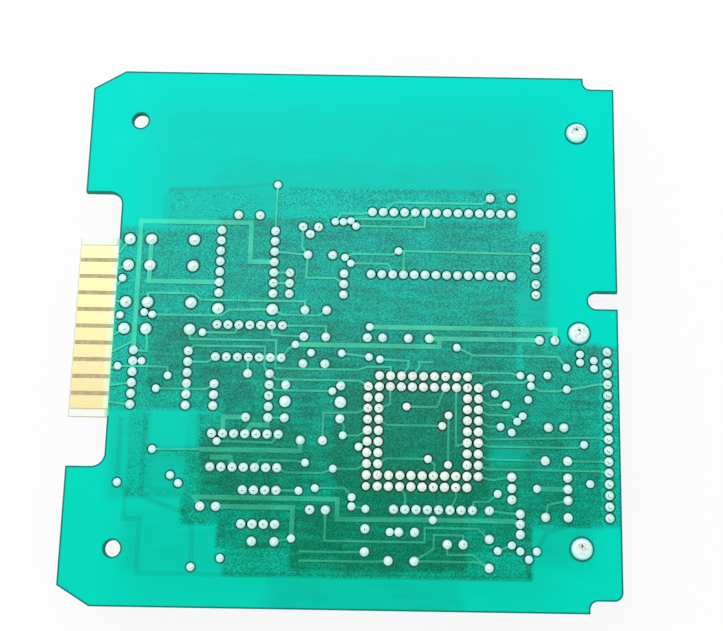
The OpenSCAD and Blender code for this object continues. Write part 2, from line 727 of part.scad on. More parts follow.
module cpu_slots() {
    for (turn = [0 : 3], i = [0 : cpu_leads - 1])
        rotate(90 * turn)
            translate([(i - (cpu_leads - 1) / 2) * cpu_lead_pitch - cpu_slot / 2, cpu_well - 0.3])
                square([cpu_slot, cpu_slot_depth + 0.3]);
}

module cpu_wall() {
    // the well with its keyed corner, and two openings for the chip's extraction tool
    corner_cut = 1.15 * cpu_rim;
    difference() {
        square(cpu_socket_w, center = true);
        square(2 * cpu_well, center = true);
        translate([-cpu_socket_w, cpu_socket_w] / 2)
            rotate(45)
                square(corner_cut, center = true);
        for (end = [-1, 1])
            translate([end * cpu_well, end * cpu_well])
                rotate(45)
                    square(corner_cut, center = true);
        cpu_slots();
    }
}

module cpu_floor() {
    difference() {
        square(2 * cpu_well + 2 * fit, center = true);
        square(cpu_window, center = true);
        cpu_slots();
    }
}

module cpu_socket() {
    color("saddlebrown")
        component_side()
            translate(cpu_centre) {
                translate([0, 0, cpu_stand_off])
                    linear_extrude(cpu_socket_h - cpu_stand_off)
                        cpu_wall();
                translate([0, 0, cpu_floor_z])
                    linear_extrude(cpu_floor_t)
                        cpu_floor();
            }
}

module cpu_contact(blade_x, pin) {
    // a blade against the chip's lead, a foot under the floor and a pin through the laminate
    top = cpu_socket_h - 0.8;
    w = lead_w;
    foot_start = min(pin.y - w / 2, cpu_contact_face);
    foot_end = max(pin.y, cpu_contact_face + cpu_contact_t);
    translate([blade_x - w / 2, cpu_contact_face, cpu_foot_z])
        cube([w, cpu_contact_t, top - cpu_foot_z]);
    translate([blade_x - w / 2, foot_start, cpu_foot_z])
        cube([w, foot_end - foot_start, cpu_contact_t]);
    if (pin.x != blade_x)
        translate([pin.x - w / 2, pin.y - w / 2, cpu_foot_z])
            cube([blade_x - pin.x + w, w, cpu_contact_t]);
    translate([pin.x, pin.y, lead_end])
        cylinder(h = cpu_foot_z + cpu_contact_t - lead_end, d = lead_d, $fn = small_fn);
}

module cpu_socket_contacts() {
    half = (cpu_leads - 1) / 4;
    color("silver")
        each_cpu_side() {
            for (k = [-half : half])
                cpu_contact(k * pitch, [k * pitch, cpu_pin_out]);
            for (k = [-half : half - 1])
                cpu_contact((k + 0.5) * pitch, [k * pitch, cpu_pin_out - pitch]);
        }
}

module tapered_block(l, w, t, waist, draft) {
    // a moulded body whose four sides lean in from a band at half height
    module side(len, depth)
        rotate([90, 0, 0])
            linear_extrude(depth, center = true)
                polygon([
                    [-len / 2 + draft, 0], [len / 2 - draft, 0],
                    [len / 2, t / 2 - waist], [len / 2, t / 2 + waist],
                    [len / 2 - draft, t], [-len / 2 + draft, t],
                    [-len / 2, t / 2 + waist], [-len / 2, t / 2 - waist]]);
    intersection() {
        side(l, w + 1);
        rotate(90)
            side(w, l + 1);
    }
}

module cpu_chip() {
    corner = 1.6;
    half = cpu_chip_w / 2;
    color("dimgray")
        component_side()
            translate([each cpu_centre, cpu_chip_z])
                difference() {
                    tapered_block(cpu_chip_w, cpu_chip_w, cpu_chip_t, 0.2, 0.35);
                    translate([-half, half, cpu_chip_t / 2])
                        rotate(45)
                            cube([corner * sqrt(2), corner * sqrt(2), cpu_chip_t + 1], center = true);
                    translate([0, half - 2.5, cpu_chip_t - 0.2])
                        cylinder(h = 1, d = 1.6, $fn = round_fn);
                }
}

module cpu_chip_leads() {
    w = lead_w;
    foot_z = cpu_floor_z + cpu_floor_t + 0.1;
    color("silver")
        each_cpu_side()
            for (i = [0 : cpu_leads - 1])
                translate([(i - (cpu_leads - 1) / 2) * cpu_lead_pitch - w / 2, 0, 0]) {
                    translate([0, cpu_chip_w / 2, cpu_lead_z - lead_t / 2])
                        cube([w, cpu_lead_out, lead_t]);
                    translate([0, cpu_lead_face - lead_t, foot_z])
                        cube([w, lead_t, cpu_lead_z + lead_t / 2 - foot_z]);
                    translate([0, cpu_lead_face - 1.2, foot_z])
                        cube([w, 1.2, lead_t]);
                }
}

// ---- Dual-in-line chips -------------------------------------------------------------
dip_seat = 0.8;
dip_waist = 0.2;
dip_draft = 0.3;

module dip_body(chip, w, seat) {
    l = (chip[1] - 1) * pitch + 3.6;
    notch = 1.6;
    component_side()
        translate([each dip_centre(chip), seat])
            difference() {
                tapered_block(l, w, dip_t, dip_waist, dip_draft);
                translate([-l / 2, 0, dip_t - 0.5])
                    cylinder(h = 1, d = notch, $fn = round_fn);
            }
}

module dip_lead(chip, w, seat, stop, end) {
    // shoulder out of the body, wide upper part and narrow pin
    row_out = chip[2] / 2 * pitch;
    shoulder = seat + dip_t / 2;
    wide = 1.4;
    translate([-wide / 2, w / 2, shoulder - lead_t / 2])
        cube([wide, row_out - w / 2 + lead_t / 2, lead_t]);
    translate([-wide / 2, row_out - lead_t / 2, stop])
        cube([wide, lead_t, shoulder + lead_t / 2 - stop]);
    translate([-lead_w / 2, row_out - lead_t / 2, end])
        cube([lead_w, lead_t, stop - end]);
}

module dip_leads(chip, w, seat, stop, end) {
    component_side()
        translate(dip_centre(chip))
            for (side = [0, 180])
                rotate(side)
                    for (k = [0 : chip[1] - 1])
                        translate([(k - (chip[1] - 1) / 2) * pitch, 0, 0])
                            dip_lead(chip, w, seat, stop, end);
}

module upper_logic_chip() { color("dimgray") dip_body(upper_logic, dip_w, dip_seat); }
module lower_logic_chip() { color("dimgray") dip_body(lower_logic, dip_w, dip_seat); }
module timer_chip() { color("dimgray") dip_body(timer, dip_w, dip_seat); }

module logic_leads() {
    color("silver")
        for (chip = [upper_logic, lower_logic, timer])
            dip_leads(chip, dip_w, dip_seat, 0.5, lead_end);
}

// ---- Memory chip and its socket -----------------------------------------------------
socket_floor = 0.4;
sleeve_d = 1.4;
sleeve_bore = 0.9;
sleeve_rim = 0.2;
memory_seat = memory_socket_h + 0.7;

module memory_socket() {
    rail_l = memory[1] * pitch;
    rail_w = 2.6;
    bar_w = 3;
    row_out = memory[2] / 2 * pitch;
    color("darkslategray")
        component_side()
            translate([0, 0, socket_floor])
                linear_extrude(memory_socket_h - socket_floor)
                    difference() {
                        translate(dip_centre(memory)) {
                            for (side = [-1, 1])
                                translate([0, side * row_out])
                                    square([rail_l, rail_w], center = true);
                            for (bar = [-1 : 1])
                                translate([bar * (rail_l - bar_w) / 2, 0])
                                    square([bar_w, 2 * row_out], center = true);
                        }
                        drill(dip_pins(memory), sleeve_d);
                    }
}

module memory_socket_contacts() {
    shoulder = 0.6;
    color("goldenrod")
        component_side()
            for (s = dip_pins(memory))
                translate(at(s))
                    rotate_extrude($fn = small_fn)
                        polygon([[0, lead_end], [lead_d / 2, lead_end], [lead_d / 2, shoulder],
                            [sleeve_d / 2, shoulder], [sleeve_d / 2, memory_socket_h],
                            [sleeve_d / 2 + 0.15, memory_socket_h],
                            [sleeve_d / 2 + 0.15, memory_socket_h + sleeve_rim],
                            [sleeve_bore / 2, memory_socket_h + sleeve_rim],
                            [sleeve_bore / 2, 1.2], [0, 1.2]]);
}

module memory_chip() { color("dimgray") dip_body(memory, memory_w, memory_seat); }

module memory_chip_leads() {
    color("silver")
        dip_leads(memory, memory_w, memory_seat, memory_socket_h + sleeve_rim + fit, 1.6);
}

// ---- Axial parts --------------------------------------------------------------------
module axial_body(s, l, d, neck) {
    // a revolved body with swollen ends
    r = d / 2;
    cap = 1.2;
    up = r + 0.3;
    translate([each at(s + [axial_span / 2, 0]), up])
        rotate([0, 90, 0])
            rotate_extrude($fn = small_fn)
                polygon([[0, -l / 2], [0.6 * r, -l / 2], [r, -l / 2 + 0.4], [r, -l / 2 + cap],
                    [neck, -l / 2 + cap + 0.4], [neck, l / 2 - cap - 0.4], [r, l / 2 - cap],
                    [r, l / 2 - 0.4], [0.6 * r, l / 2], [0, l / 2]]);
}

module axial_lead(l, d, wire) {
    // out of the body's left end, round one bend and down through the laminate
    up = d / 2 + 0.3;
    half = axial_span / 2 * pitch;
    turn = up > bend_r ? bend_r : up;
    translate([half - l / 2, 0, up])
        rotate([0, -90, 0])
            cylinder(h = half - l / 2 - turn, d = wire, $fn = small_fn);
    translate([turn, 0, up - turn])
        rotate([90, 0, 0])
            rotate(90)
                rotate_extrude(angle = 90, $fn = round_fn)
                    translate([turn, 0])
                        circle(d = wire, $fn = small_fn);
    translate([0, 0, lead_end])
        cylinder(h = up - turn - lead_end, d = wire, $fn = small_fn);
}

module axial_leads(places, l, d, wire) {
    component_side()
        for (s = places) {
            translate(at(s))
                axial_lead(l, d, wire);
            translate(at(s + [axial_span, 0]))
                rotate(180)
                    axial_lead(l, d, wire);
        }
}

module resistor_bodies() {
    color("tan")
        component_side()
            for (s = resistors)
                axial_body(s, resistor_l, resistor_d, 0.85 * resistor_d / 2);
}

module resistor_leads() {
    color("silver")
        axial_leads(resistors, resistor_l, resistor_d, lead_d);
}

module diode_bodies() {
    color("dimgray")
        component_side()
            for (s = diodes)
                axial_body(s, diode_l, diode_d, diode_d / 2 - 0.02);
}

module diode_leads() {
    color("silver")
        axial_leads(diodes, diode_l, diode_d, thick_lead_d);
}

// ---- Capacitors and crystal ---------------------------------------------------------
disc_up = 1.2;
coat_d = 1.1;

module disc_capacitor_bodies() {
    r = disc_d / 2;
    t = disc_t / 2;
    centre_z = disc_up + r;
    color("peru")
        component_side()
            for (part = disc_capacitors)
                translate(radial_centre(part))
                    rotate(part[2]) {
                        translate([0, 0, centre_z])
                            rotate([90, 0, 0])
                                rotate_extrude($fn = round_fn)
                                    polygon([[0, -t], [r - 0.8, -t], [r - 0.25, -0.7 * t], [r, -0.25 * t],
                                        [r, 0.25 * t], [r - 0.25, 0.7 * t], [r - 0.8, t], [0, t]]);
                        for (side = [-1, 1])
                            translate([side * part[1] / 2 * pitch, 0, disc_up - 0.2])
                                cylinder(h = r, d = coat_d, $fn = small_fn);
                    }
}

module disc_capacitor_leads() {
    color("silver")
        component_side()
            for (s = radial_pins(disc_capacitors))
                straight_lead(s, disc_up - 0.2);
}

can_z = 0.4;
seal_h = 1;
seal_d = 0.8 * can_d;

module can_capacitor_bodies() {
    r = can_d / 2;
    edge_r = 0.3;
    groove_depth = 0.35;
    groove_w = 1;
    groove_z = 1.4;
    color("midnightblue")
        component_side()
            for (part = can_capacitors)
                translate([each radial_centre(part), can_z])
                    rotate_extrude($fn = round_fn)
                        polygon([[seal_d / 2, 0], [r - edge_r, 0], [r, edge_r], [r, groove_z],
                            [r - groove_depth, groove_z + groove_w / 2], [r, groove_z + groove_w],
                            [r, can_h - edge_r], [r - edge_r, can_h], [0, can_h], [0, seal_h],
                            [seal_d / 2, seal_h]]);
}

module can_capacitor_seals() {
    color("dimgray")
        component_side()
            for (part = can_capacitors)
                translate([each radial_centre(part), can_z - 0.1])
                    cylinder(h = seal_h + 0.1, d = seal_d, $fn = round_fn);
}

module can_capacitor_leads() {
    color("silver")
        component_side()
            for (s = radial_pins(can_capacitors))
                straight_lead(s, can_z - 0.1);
}

film_l = 8.2;
film_w = 3.5;
film_h = 7;
film_z = 0.3;

module film_capacitor_bodies() {
    color("firebrick")
        component_side()
            for (part = film_capacitors)
                translate([each radial_centre(part), film_z])
                    linear_extrude(film_h)
                        rounded_rectangle(film_l, film_w, 0.5);
}

module film_capacitor_leads() {
    color("silver")
        component_side()
            for (s = radial_pins(film_capacitors))
                straight_lead(s, film_z);
}

crystal_l = 10.2;
crystal_w = 3.7;
crystal_h = 3.4;
crystal_z = 0.4;
crystal_rim = 0.55;

module crystal_can() {
    color("silver")
        component_side()
            translate([each radial_centre(crystal), crystal_z]) {
                linear_extrude(crystal_rim)
                    rounded_rectangle(crystal_l + 2 * crystal_rim, crystal_w + 2 * crystal_rim,
                        crystal_w / 2 + crystal_rim - fit);
                linear_extrude(crystal_h)
                    rounded_rectangle(crystal_l, crystal_w, crystal_w / 2 - fit);
            }
}

module crystal_leads() {
    color("silver")
        component_side()
            for (s = radial_pins([crystal]))
                straight_lead(s, crystal_z);
}

// ---- Resistor network, trimmer and transistors --------------------------------------
network_h = 5;
network_w = 2.4;
network_z = 0.4;

module resistor_network() {
    color("maroon")
        component_side()
            translate([each at(network[0] + [(network[1] - 1) / 2, 0]), network_z])
                linear_extrude(network_h)
                    rounded_rectangle(network[1] * pitch - 0.4, network_w, 0.5);
}

module resistor_network_leads() {
    color("silver")
        component_side()
            for (s = row_right(network))
                flat_lead(s, network_z);
}

trimmer_l = 16.4;
trimmer_w = 4.8;
trimmer_h = 6.4;
trimmer_z = 0.3;

module trimmer_screw_place() {
    translate([each at(trimmer_pins[1]) + [0, trimmer_l / 2 - 1.8], trimmer_z + trimmer_h])
        children();
}

module trimmer_body() {
    color("royalblue")
        component_side()
            difference() {
                translate([each at(trimmer_pins[1]), trimmer_z])
                    linear_extrude(trimmer_h)
                        rounded_rectangle(trimmer_w, trimmer_l, 0.3);
                trimmer_screw_place()
                    translate([0, 0, -0.8])
                        cylinder(h = 1, d = 2.4, $fn = round_fn);
            }
}

module trimmer_screw() {
    slot = 0.5;
    color("gold")
        component_side()
            trimmer_screw_place()
                difference() {
                    translate([0, 0, -0.8])
                        cylinder(h = 1.2, d = 2.4 - 2 * fit, $fn = round_fn);
                    translate([0, 0, 0.4])
                        cube([3, slot, 1], center = true);
                }
}

module trimmer_leads() {
    color("silver")
        component_side()
            for (s = trimmer_pins)
                straight_lead(s, trimmer_z);
}

transistor_r = 2.3;
transistor_flat = 1.3;
transistor_lead_out = 1.27;
jog_z = transistor_up - 0.8;

function middle(t) = (at(t[0][0]) + at(t[0][2])) / 2;

module transistor_bodies() {
    color("dimgray")
        component_side()
            for (t = transistors)
                translate([each middle(t), transistor_up])
                    rotate(t[1])
                        linear_extrude(transistor_h)
                            intersection() {
                                circle(transistor_r, $fn = round_fn);
                                translate([-transistor_r, -transistor_flat])
                                    square([2 * transistor_r, 2 * transistor_r]);
                            }
}

module square_wire(a, b) {
    // a straight stretch of square wire between two corners of its path
    w = square_lead;
    low = [for (i = [0 : 2]) min(a[i], b[i]) - w / 2];
    high = [for (i = [0 : 2]) max(a[i], b[i]) + w / 2];
    translate(low)
        cube(high - low);
}

module transistor_lead(from, to) {
    w = square_lead;
    square_wire([each from, jog_z], [each from, transistor_up - w / 2]);
    if (abs(from.x - to.x) > 0.01)
        square_wire([each from, jog_z], [to.x, from.y, jog_z]);
    if (abs(from.y - to.y) > 0.01)
        square_wire([to.x, from.y, jog_z], [each to, jog_z]);
    square_wire([each to, lead_end + w / 2], [each to, jog_z]);
}

module transistor_leads() {
    color("silver")
        component_side()
            for (t = transistors, k = [0 : 2])
                let (c = middle(t), side = (k - 1) * transistor_lead_out)
                    transistor_lead(c + (t[1] == 0 ? [side, 0] : [0, -side]), at(t[0][k]));
}

// ---- Pin headers --------------------------------------------------------------------
header_h = 2.5;
header_pin_h = 8.6;

module header_base(row) {
    w = 2.5;
    component_side()
        linear_extrude(header_h)
            difference() {
                for (s = row_down(row))
                    translate(at(s))
                        intersection() {
                            square([w, pitch], center = true);
                            rotate(45)
                                square(2.9, center = true);
                        }
                for (s = row_down(row))
                    translate(at(s))
                        square(square_pin, center = true);
            }
}

module header_pins_of(row) {
    component_side()
        for (s = row_down(row))
            translate([each at(s) - [square_pin, square_pin] / 2, lead_end])
                cube([square_pin, square_pin, header_pin_h - lead_end]);
}

module header_strip() { color("dimgray") header_base(header); }
module header_pins() { color("gold") header_pins_of(header); }
module jumper_strip() { color("dimgray") header_base(jumper); }
module jumper_pins() { color("gold") header_pins_of(jumper); }

laminate();
solder_side_tracks();
component_side_tracks();
solder_side_contacts();
component_side_contacts();
solder_joints();
via_solder();
upper_support_post();
middle_support_post();
lower_support_post();
post_solder();
upper_relay_cover();
lower_relay_cover();
relay_bases();
relay_leads();
cpu_socket();
cpu_socket_contacts();
cpu_chip();
cpu_chip_leads();
memory_socket();
memory_socket_contacts();
memory_chip();
memory_chip_leads();
upper_logic_chip();
lower_logic_chip();
timer_chip();
logic_leads();
resistor_bodies();
resistor_leads();
diode_bodies();
diode_leads();
disc_capacitor_bodies();
disc_capacitor_leads();
can_capacitor_bodies();
can_capacitor_seals();
can_capacitor_leads();
film_capacitor_bodies();
film_capacitor_leads();
crystal_can();
crystal_leads();
resistor_network();
resistor_network_leads();
trimmer_body();
trimmer_screw();
trimmer_leads();
transistor_bodies();
transistor_leads();
header_strip();
header_pins();
jumper_strip();
jumper_pins();
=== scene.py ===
"""Looks of a plug-in controller board, lying with its solder side up on a pale table."""
import math
import random

import bmesh
import bpy
from mathutils import Matrix, Vector


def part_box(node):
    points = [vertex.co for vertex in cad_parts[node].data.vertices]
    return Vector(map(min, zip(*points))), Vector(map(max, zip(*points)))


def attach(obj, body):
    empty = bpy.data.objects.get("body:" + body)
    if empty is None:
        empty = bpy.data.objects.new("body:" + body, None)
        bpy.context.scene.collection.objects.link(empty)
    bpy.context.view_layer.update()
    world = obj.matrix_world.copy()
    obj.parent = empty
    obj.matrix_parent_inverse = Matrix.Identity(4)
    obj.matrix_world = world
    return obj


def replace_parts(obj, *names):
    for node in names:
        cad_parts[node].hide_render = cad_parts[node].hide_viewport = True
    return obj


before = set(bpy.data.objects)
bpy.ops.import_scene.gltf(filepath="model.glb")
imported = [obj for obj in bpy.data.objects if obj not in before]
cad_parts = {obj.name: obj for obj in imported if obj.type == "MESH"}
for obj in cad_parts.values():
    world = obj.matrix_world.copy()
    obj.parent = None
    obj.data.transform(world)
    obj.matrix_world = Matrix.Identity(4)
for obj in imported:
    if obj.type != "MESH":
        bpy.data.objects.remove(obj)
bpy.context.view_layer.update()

# ---- Sizes, in metres, worked out from the frame ------------------------------------
MM = 0.001
PITCH = 2.54 * MM  # between two holes of the grid
PROCESSOR_STEPS = 10  # between the outermost pins of the processor's socket, in pitches
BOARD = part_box("laminate")
BOTTOM, TOP = BOARD[0].z, BOARD[1].z
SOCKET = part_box("cpu_socket")
GRID_X = (SOCKET[0].x + SOCKET[1].x) / 2 - PROCESSOR_STEPS / 2 * PITCH
GRID_Y = (SOCKET[0].y + SOCKET[1].y) / 2 + PROCESSOR_STEPS / 2 * PITCH
TONGUE_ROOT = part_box("solder_side_contacts")[1].x
TONGUE_HALF = 21.3 * MM  # half the width of the tongue, with a hair's breadth to spare
CONTACT_Y = [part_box("solder_side_contacts")[end].y for end in (0, 1)]
FILM = 0.01 * MM  # how far a thin layer stands proud of what it lies on
BURIED = 0.02 * MM  # how deep a thin layer reaches into it
CAP_SPREAD = 1.08  # how far the solder of a post's cap runs past its plain solid
UPRIGHT = 0.9  # a face whose normal stands at least this steeply is level
WELD = 1e-6  # corners closer than this are one


def at(u, v):
    """A place on the hole grid: steps right of and below the processor's first corner."""
    return GRID_X + u * PITCH, GRID_Y - v * PITCH


# ---- Node trees ---------------------------------------------------------------------
class Paint:
    """A material while its nodes are being laid out."""

    def __init__(self, name, color, roughness=0.5, metallic=0.0, **uniform):
        self.material = bpy.data.materials.new(name)
        self.material.use_nodes = True
        self.tree = self.material.node_tree
        self.shader = self.tree.nodes["Principled BSDF"]
        self.set("Base Color", (*color, 1))
        self.set("Roughness", roughness)
        self.set("Metallic", metallic)
        for socket, value in uniform.items():
            self.set(socket.replace("_", " ").title().replace("Ior", "IOR"), value)
        self.place = self.add("ShaderNodeTexCoord").outputs["Object"]

    def set(self, socket, value):
        self.shader.inputs[socket].default_value = value

    def add(self, kind, inputs=None, **settings):
        node = self.tree.nodes.new(kind)
        for key, value in settings.items():
            setattr(node, key, value)
        for key, value in (inputs or {}).items():
            self.feed(node.inputs[key], value)
        return node

    def feed(self, socket, value):
        if isinstance(value, bpy.types.NodeSocket):
            self.tree.links.new(value, socket)
        else:
            socket.default_value = value

    def math(self, operation, a, b=0.0, clamp=False):
        node = self.add("ShaderNodeMath", {0: a, 1: b}, operation=operation, use_clamp=clamp)
        return node.outputs[0]

    def axis(self, index):
        return self.add("ShaderNodeSeparateXYZ", {0: self.place}).outputs[index]

    def noise(self, size, detail=3.0, rough=0.55, stretch=(1, 1, 1)):
        """Grey clouds whose lumps are about `size` across."""
        scaled = self.add("ShaderNodeMapping", {"Vector": self.place, "Scale": stretch})
        node = self.add("ShaderNodeTexNoise", {
            "Vector": scaled.outputs[0], "Scale": 1 / size, "Detail": detail, "Roughness": rough})
        return node.outputs["Fac"]

    def spread(self, value, low, high, out_low=0.0, out_high=1.0):
        """Stretches low..high to out_low..out_high, with soft ends."""
        node = self.add("ShaderNodeMapRange", {
            "Value": value, "From Min": low, "From Max": high,
            "To Min": out_low, "To Max": out_high}, interpolation_type="SMOOTHSTEP")
        return node.outputs[0]

    def mix(self, factor, a, b, blend="MIX"):
        node = self.add("ShaderNodeMix", data_type="RGBA", blend_type=blend)
        self.feed(node.inputs["Factor"], factor)
        for key, value in (("A", a), ("B", b)):
            socket = [s for s in node.inputs if s.name == key and s.type == "RGBA"][0]
            self.feed(socket, (*value, 1) if isinstance(value, tuple) else value)
        return [s for s in node.outputs if s.type == "RGBA"][0]

    def paint(self, color):
        self.feed(self.shader.inputs["Base Color"], color)

    def rough(self, value):
        self.feed(self.shader.inputs["Roughness"], value)

    def bump(self, height, distance, strength=1.0):
        node = self.add("ShaderNodeBump", {
            "Height": height, "Distance": distance, "Strength": strength})
        self.tree.links.new(node.outputs[0], self.shader.inputs["Normal"])

    def box(self, low, high, soft):
        """1 inside a rectangle of the board, 0 outside, over a soft edge."""
        masks = []
        for index in (0, 1):
            middle = (low[index] + high[index]) / 2
            half = abs(high[index] - low[index]) / 2
            away = self.math("ABSOLUTE", self.math("SUBTRACT", self.axis(index), middle))
            masks.append(self.spread(away, half - soft / 2, half + soft / 2, 1.0, 0.0))
        return self.math("MULTIPLY", *masks)

    def deepest(self, areas):
        """The deepest of several rectangles, each (u, v, u, v) in steps, a depth and a softness."""
        total = None
        for (u0, v0, u1, v1), depth, soft in areas:
            mask = self.math("MULTIPLY", self.box(at(u0, v0), at(u1, v1), soft * PITCH), depth)
            total = mask if total is None else self.math("MAXIMUM", total, mask)
        return total

    def round_processor(self):
        """1 where the processor's joints stand close together, 0 elsewhere."""
        end = PROCESSOR_STEPS + 1.0
        return self.box(at(-1.0, -1.0), at(end, end), 1.5 * PITCH)

    def grey(self, value):
        return self.add("ShaderNodeCombineXYZ", {0: value, 1: value, 2: value}).outputs[0]


# ---- Materials of the board ---------------------------------------------------------
# the clear colours are the mask itself, the deep ones the mask under full painted shade; each _LOW
# colour holds at the bottom of the board, a painted falloff of light
CLEAR_MASK = (0.0004, 0.755, 0.615)
CLEAR_MASK_LOW = (0.0004, 0.70, 0.505)
SHADED_MASK = (0.030, 0.25, 0.205)
SHADED_MASK_LOW = (0.004, 0.195, 0.105)
MASK_GLOSS = 0.025
# painted shade where copper and components behind the laminate keep light from coming through it, and
# a little over the whole inside, away from the board's edges: a rectangle in grid steps, how deep its
# shade is, and how soft its edge is, in steps
SHADES = [
    ((-21.0, -26.5, 16.5, 20.5), 0.19, 7.0), ((-16.0, -21.5, 13.0, -10.0), 0.29, 5.0),
    ((-9.0, 15.0, 9.0, 21.6), 0.30, 3.0), ((-19.2, -17.7, 13.8, 3.6), 0.45, 0.7),
    ((-9.5, -18.0, 13.8, -15.6), 0.55, 1.0), ((-21.6, -13.7, -10.0, 3.6), 0.68, 1.0),
    ((-24.6, -13.7, -20.0, 3.6), 0.54, 0.8), ((-14.5, -15.0, 13.8, 0.0), 0.76, 1.0),
    ((-20.5, -5.6, 13.8, 2.0), 0.88, 1.6), ((13.2, -13.9, 16.4, -3.0), 0.64, 1.0),
    ((-13.8, 0.0, 18.6, 13.4), 0.88, 2.4), ((-4.0, -0.5, 12.0, 12.6), 1.06, 3.5),
    ((13.8, -3.2, 21.2, 13.4), 0.78, 0.9), ((20.4, -3.0, 23.9, 13.3), 0.52, 0.6),
    ((13.8, 11.0, 20.0, 17.0), 0.27, 3.0), ((-21.6, 3.6, -15.8, 11.4), 0.46, 0.8),
    ((-16.5, 3.6, -12.0, 13.7), 0.70, 0.8), ((-21.6, 12.0, -12.0, 17.9), 0.24, 1.6),
    ((-23.2, 3.6, -20.8, 11.6), 0.24, 1.5),
    ((-13.2, 11.0, 14.9, 15.8), 0.84, 0.7), ((-12.6, 15.0, 14.9, 18.1), 0.66, 0.7),
    ((-7.0, 11.0, 9.4, 17.9), 1.0, 1.8), ((-15.4, 4.6, -5.0, 12.8), 0.98, 2.0)]
# rectangles inside the shade where nothing lies behind, and how clear they are
GAPS = [
    ((-19.6, 3.5, -15.3, 6.8), 0.62, 0.8), ((-19.2, 7.6, -15.9, 10.7), 0.25, 1.2),
    ((10.9, 5.9, 14.2, 8.1), 0.30, 1.4),
    ((14.9, 1.4, 17.6, 4.4), 0.15, 1.6), ((13.4, -8.4, 16.6, -5.2), 0.30, 1.4)]


def weave(paint, thread):
    """The crossed threads of glass cloth, as a soft grey pattern."""
    waves = [
        paint.math("SINE", paint.math("MULTIPLY", paint.axis(index), math.tau / thread))
        for index in (0, 1)]
    return paint.math("MULTIPLY", *waves)


def mask_color(paint, more=0.0):
    """Solder mask over laminate: clear in the margins, with painted shade over the circuit."""
    shade = paint.deepest(SHADES)
    gaps = paint.deepest(GAPS)
    shade = paint.math("MULTIPLY", shade, paint.math("SUBTRACT", 1.0, gaps))
    height = paint.axis(1)
    # painted falloff of light: the mask is darker towards the bottom of the board
    clear = paint.mix(paint.spread(height, BOARD[0].y, BOARD[1].y), CLEAR_MASK_LOW, CLEAR_MASK)
    deep = paint.mix(paint.spread(height, at(0, 15)[1], at(0, -12)[1]), SHADED_MASK_LOW, SHADED_MASK)
    cloud = paint.noise(7 * MM, 3.0)
    streak = paint.noise(1.3 * MM, 2.0, 0.5, (0.12, 1, 1))
    depth = paint.math("MULTIPLY", shade, paint.spread(cloud, 0.25, 0.75, 0.87, 1.11))
    depth = paint.math("MULTIPLY", depth, paint.spread(streak, 0.3, 0.7, 0.88, 1.12))
    color = paint.mix(paint.math("ADD", depth, more, True), clear, deep)
    speckle = paint.noise(0.3 * MM, 1.0, 0.6)
    grain = paint.math("ADD", paint.math("MULTIPLY", weave(paint, 1.0 * MM), 0.035), speckle)
    lights = paint.spread(grain, 0.30, 0.70, 0.66, 1.42)
    clearings = paint.spread(gaps, 0.05, 0.28, 1.0, 0.3)
    busy = paint.math("MULTIPLY", paint.spread(depth, 0.33, 0.52), clearings)
    lights = paint.math("ADD", 1.0, paint.math("MULTIPLY", busy, paint.math("SUBTRACT", lights, 1.0)))
    return paint.mix(1.0, color, paint.grey(lights), "MULTIPLY"), speckle


def bare_color(paint):
    """Unmasked glass and epoxy between the gold contacts, pale beside the outer ones."""
    cloth = paint.math("ADD", paint.math("MULTIPLY", weave(paint, 0.5 * MM), 0.1),
                       paint.noise(1.2 * MM))
    tan = paint.mix(paint.spread(cloth, 0.3, 0.75), (0.45, 0.36, 0.20), (0.62, 0.53, 0.33))
    away = paint.math("ABSOLUTE", paint.axis(1))
    margin = paint.spread(away, CONTACT_Y[1] - 0.05 * MM, CONTACT_Y[1] + 0.4 * MM)
    bare = paint.mix(margin, tan, (0.90, 0.97, 0.88))
    inner = paint.spread(paint.axis(0), TONGUE_ROOT - 1.0 * MM, TONGUE_ROOT, 0.0, 0.8)
    return paint.mix(inner, bare, (0.25, 0.72, 0.46))


def board_face():
    """Both faces of the laminate: green mask, and bare laminate on the contact tongue."""
    paint = Paint("board_face", CLEAR_MASK, 0.42, specular_ior_level=MASK_GLOSS)
    green, speckle = mask_color(paint)
    inward = paint.spread(paint.axis(0), TONGUE_ROOT - 0.2 * MM, TONGUE_ROOT + 0.4 * MM)
    beside = paint.math("ABSOLUTE", paint.axis(1))
    ears = paint.spread(beside, TONGUE_HALF, TONGUE_HALF + 0.2 * MM)
    masked = paint.math("MAXIMUM", inward, ears)
    paint.paint(paint.mix(masked, bare_color(paint), green))
    paint.rough(paint.spread(paint.noise(4 * MM), 0.2, 0.8, 0.38, 0.52))
    paint.bump(speckle, 0.02 * MM, 0.4)
    return paint.material


def cut_edge():
    """Routed edge: layers of glass cloth in green epoxy, and pale round the tongue."""
    paint = Paint("cut_edge", (0.01, 0.24, 0.18), 0.7, specular_ior_level=0.2)
    layers = paint.math("SINE", paint.math("MULTIPLY", paint.axis(2), math.tau / (0.2 * MM)))
    fray = paint.spread(paint.math("ADD", layers, paint.noise(0.5 * MM, 4.0)), -0.6, 1.6)
    green = paint.mix(fray, (0.003, 0.13, 0.10), (0.03, 0.34, 0.26))
    pale = paint.mix(fray, (0.62, 0.60, 0.42), (0.88, 0.90, 0.74))
    inward = paint.spread(paint.axis(0), TONGUE_ROOT - 0.5 * MM, TONGUE_ROOT + 0.5 * MM)
    beside = paint.math("ABSOLUTE", paint.axis(1))
    ears = paint.spread(beside, TONGUE_HALF + 0.3 * MM, TONGUE_HALF + 0.8 * MM)
    paint.paint(paint.mix(paint.math("MAXIMUM", inward, ears), pale, green))
    paint.bump(fray, 0.03 * MM, 0.6)
    return paint.material


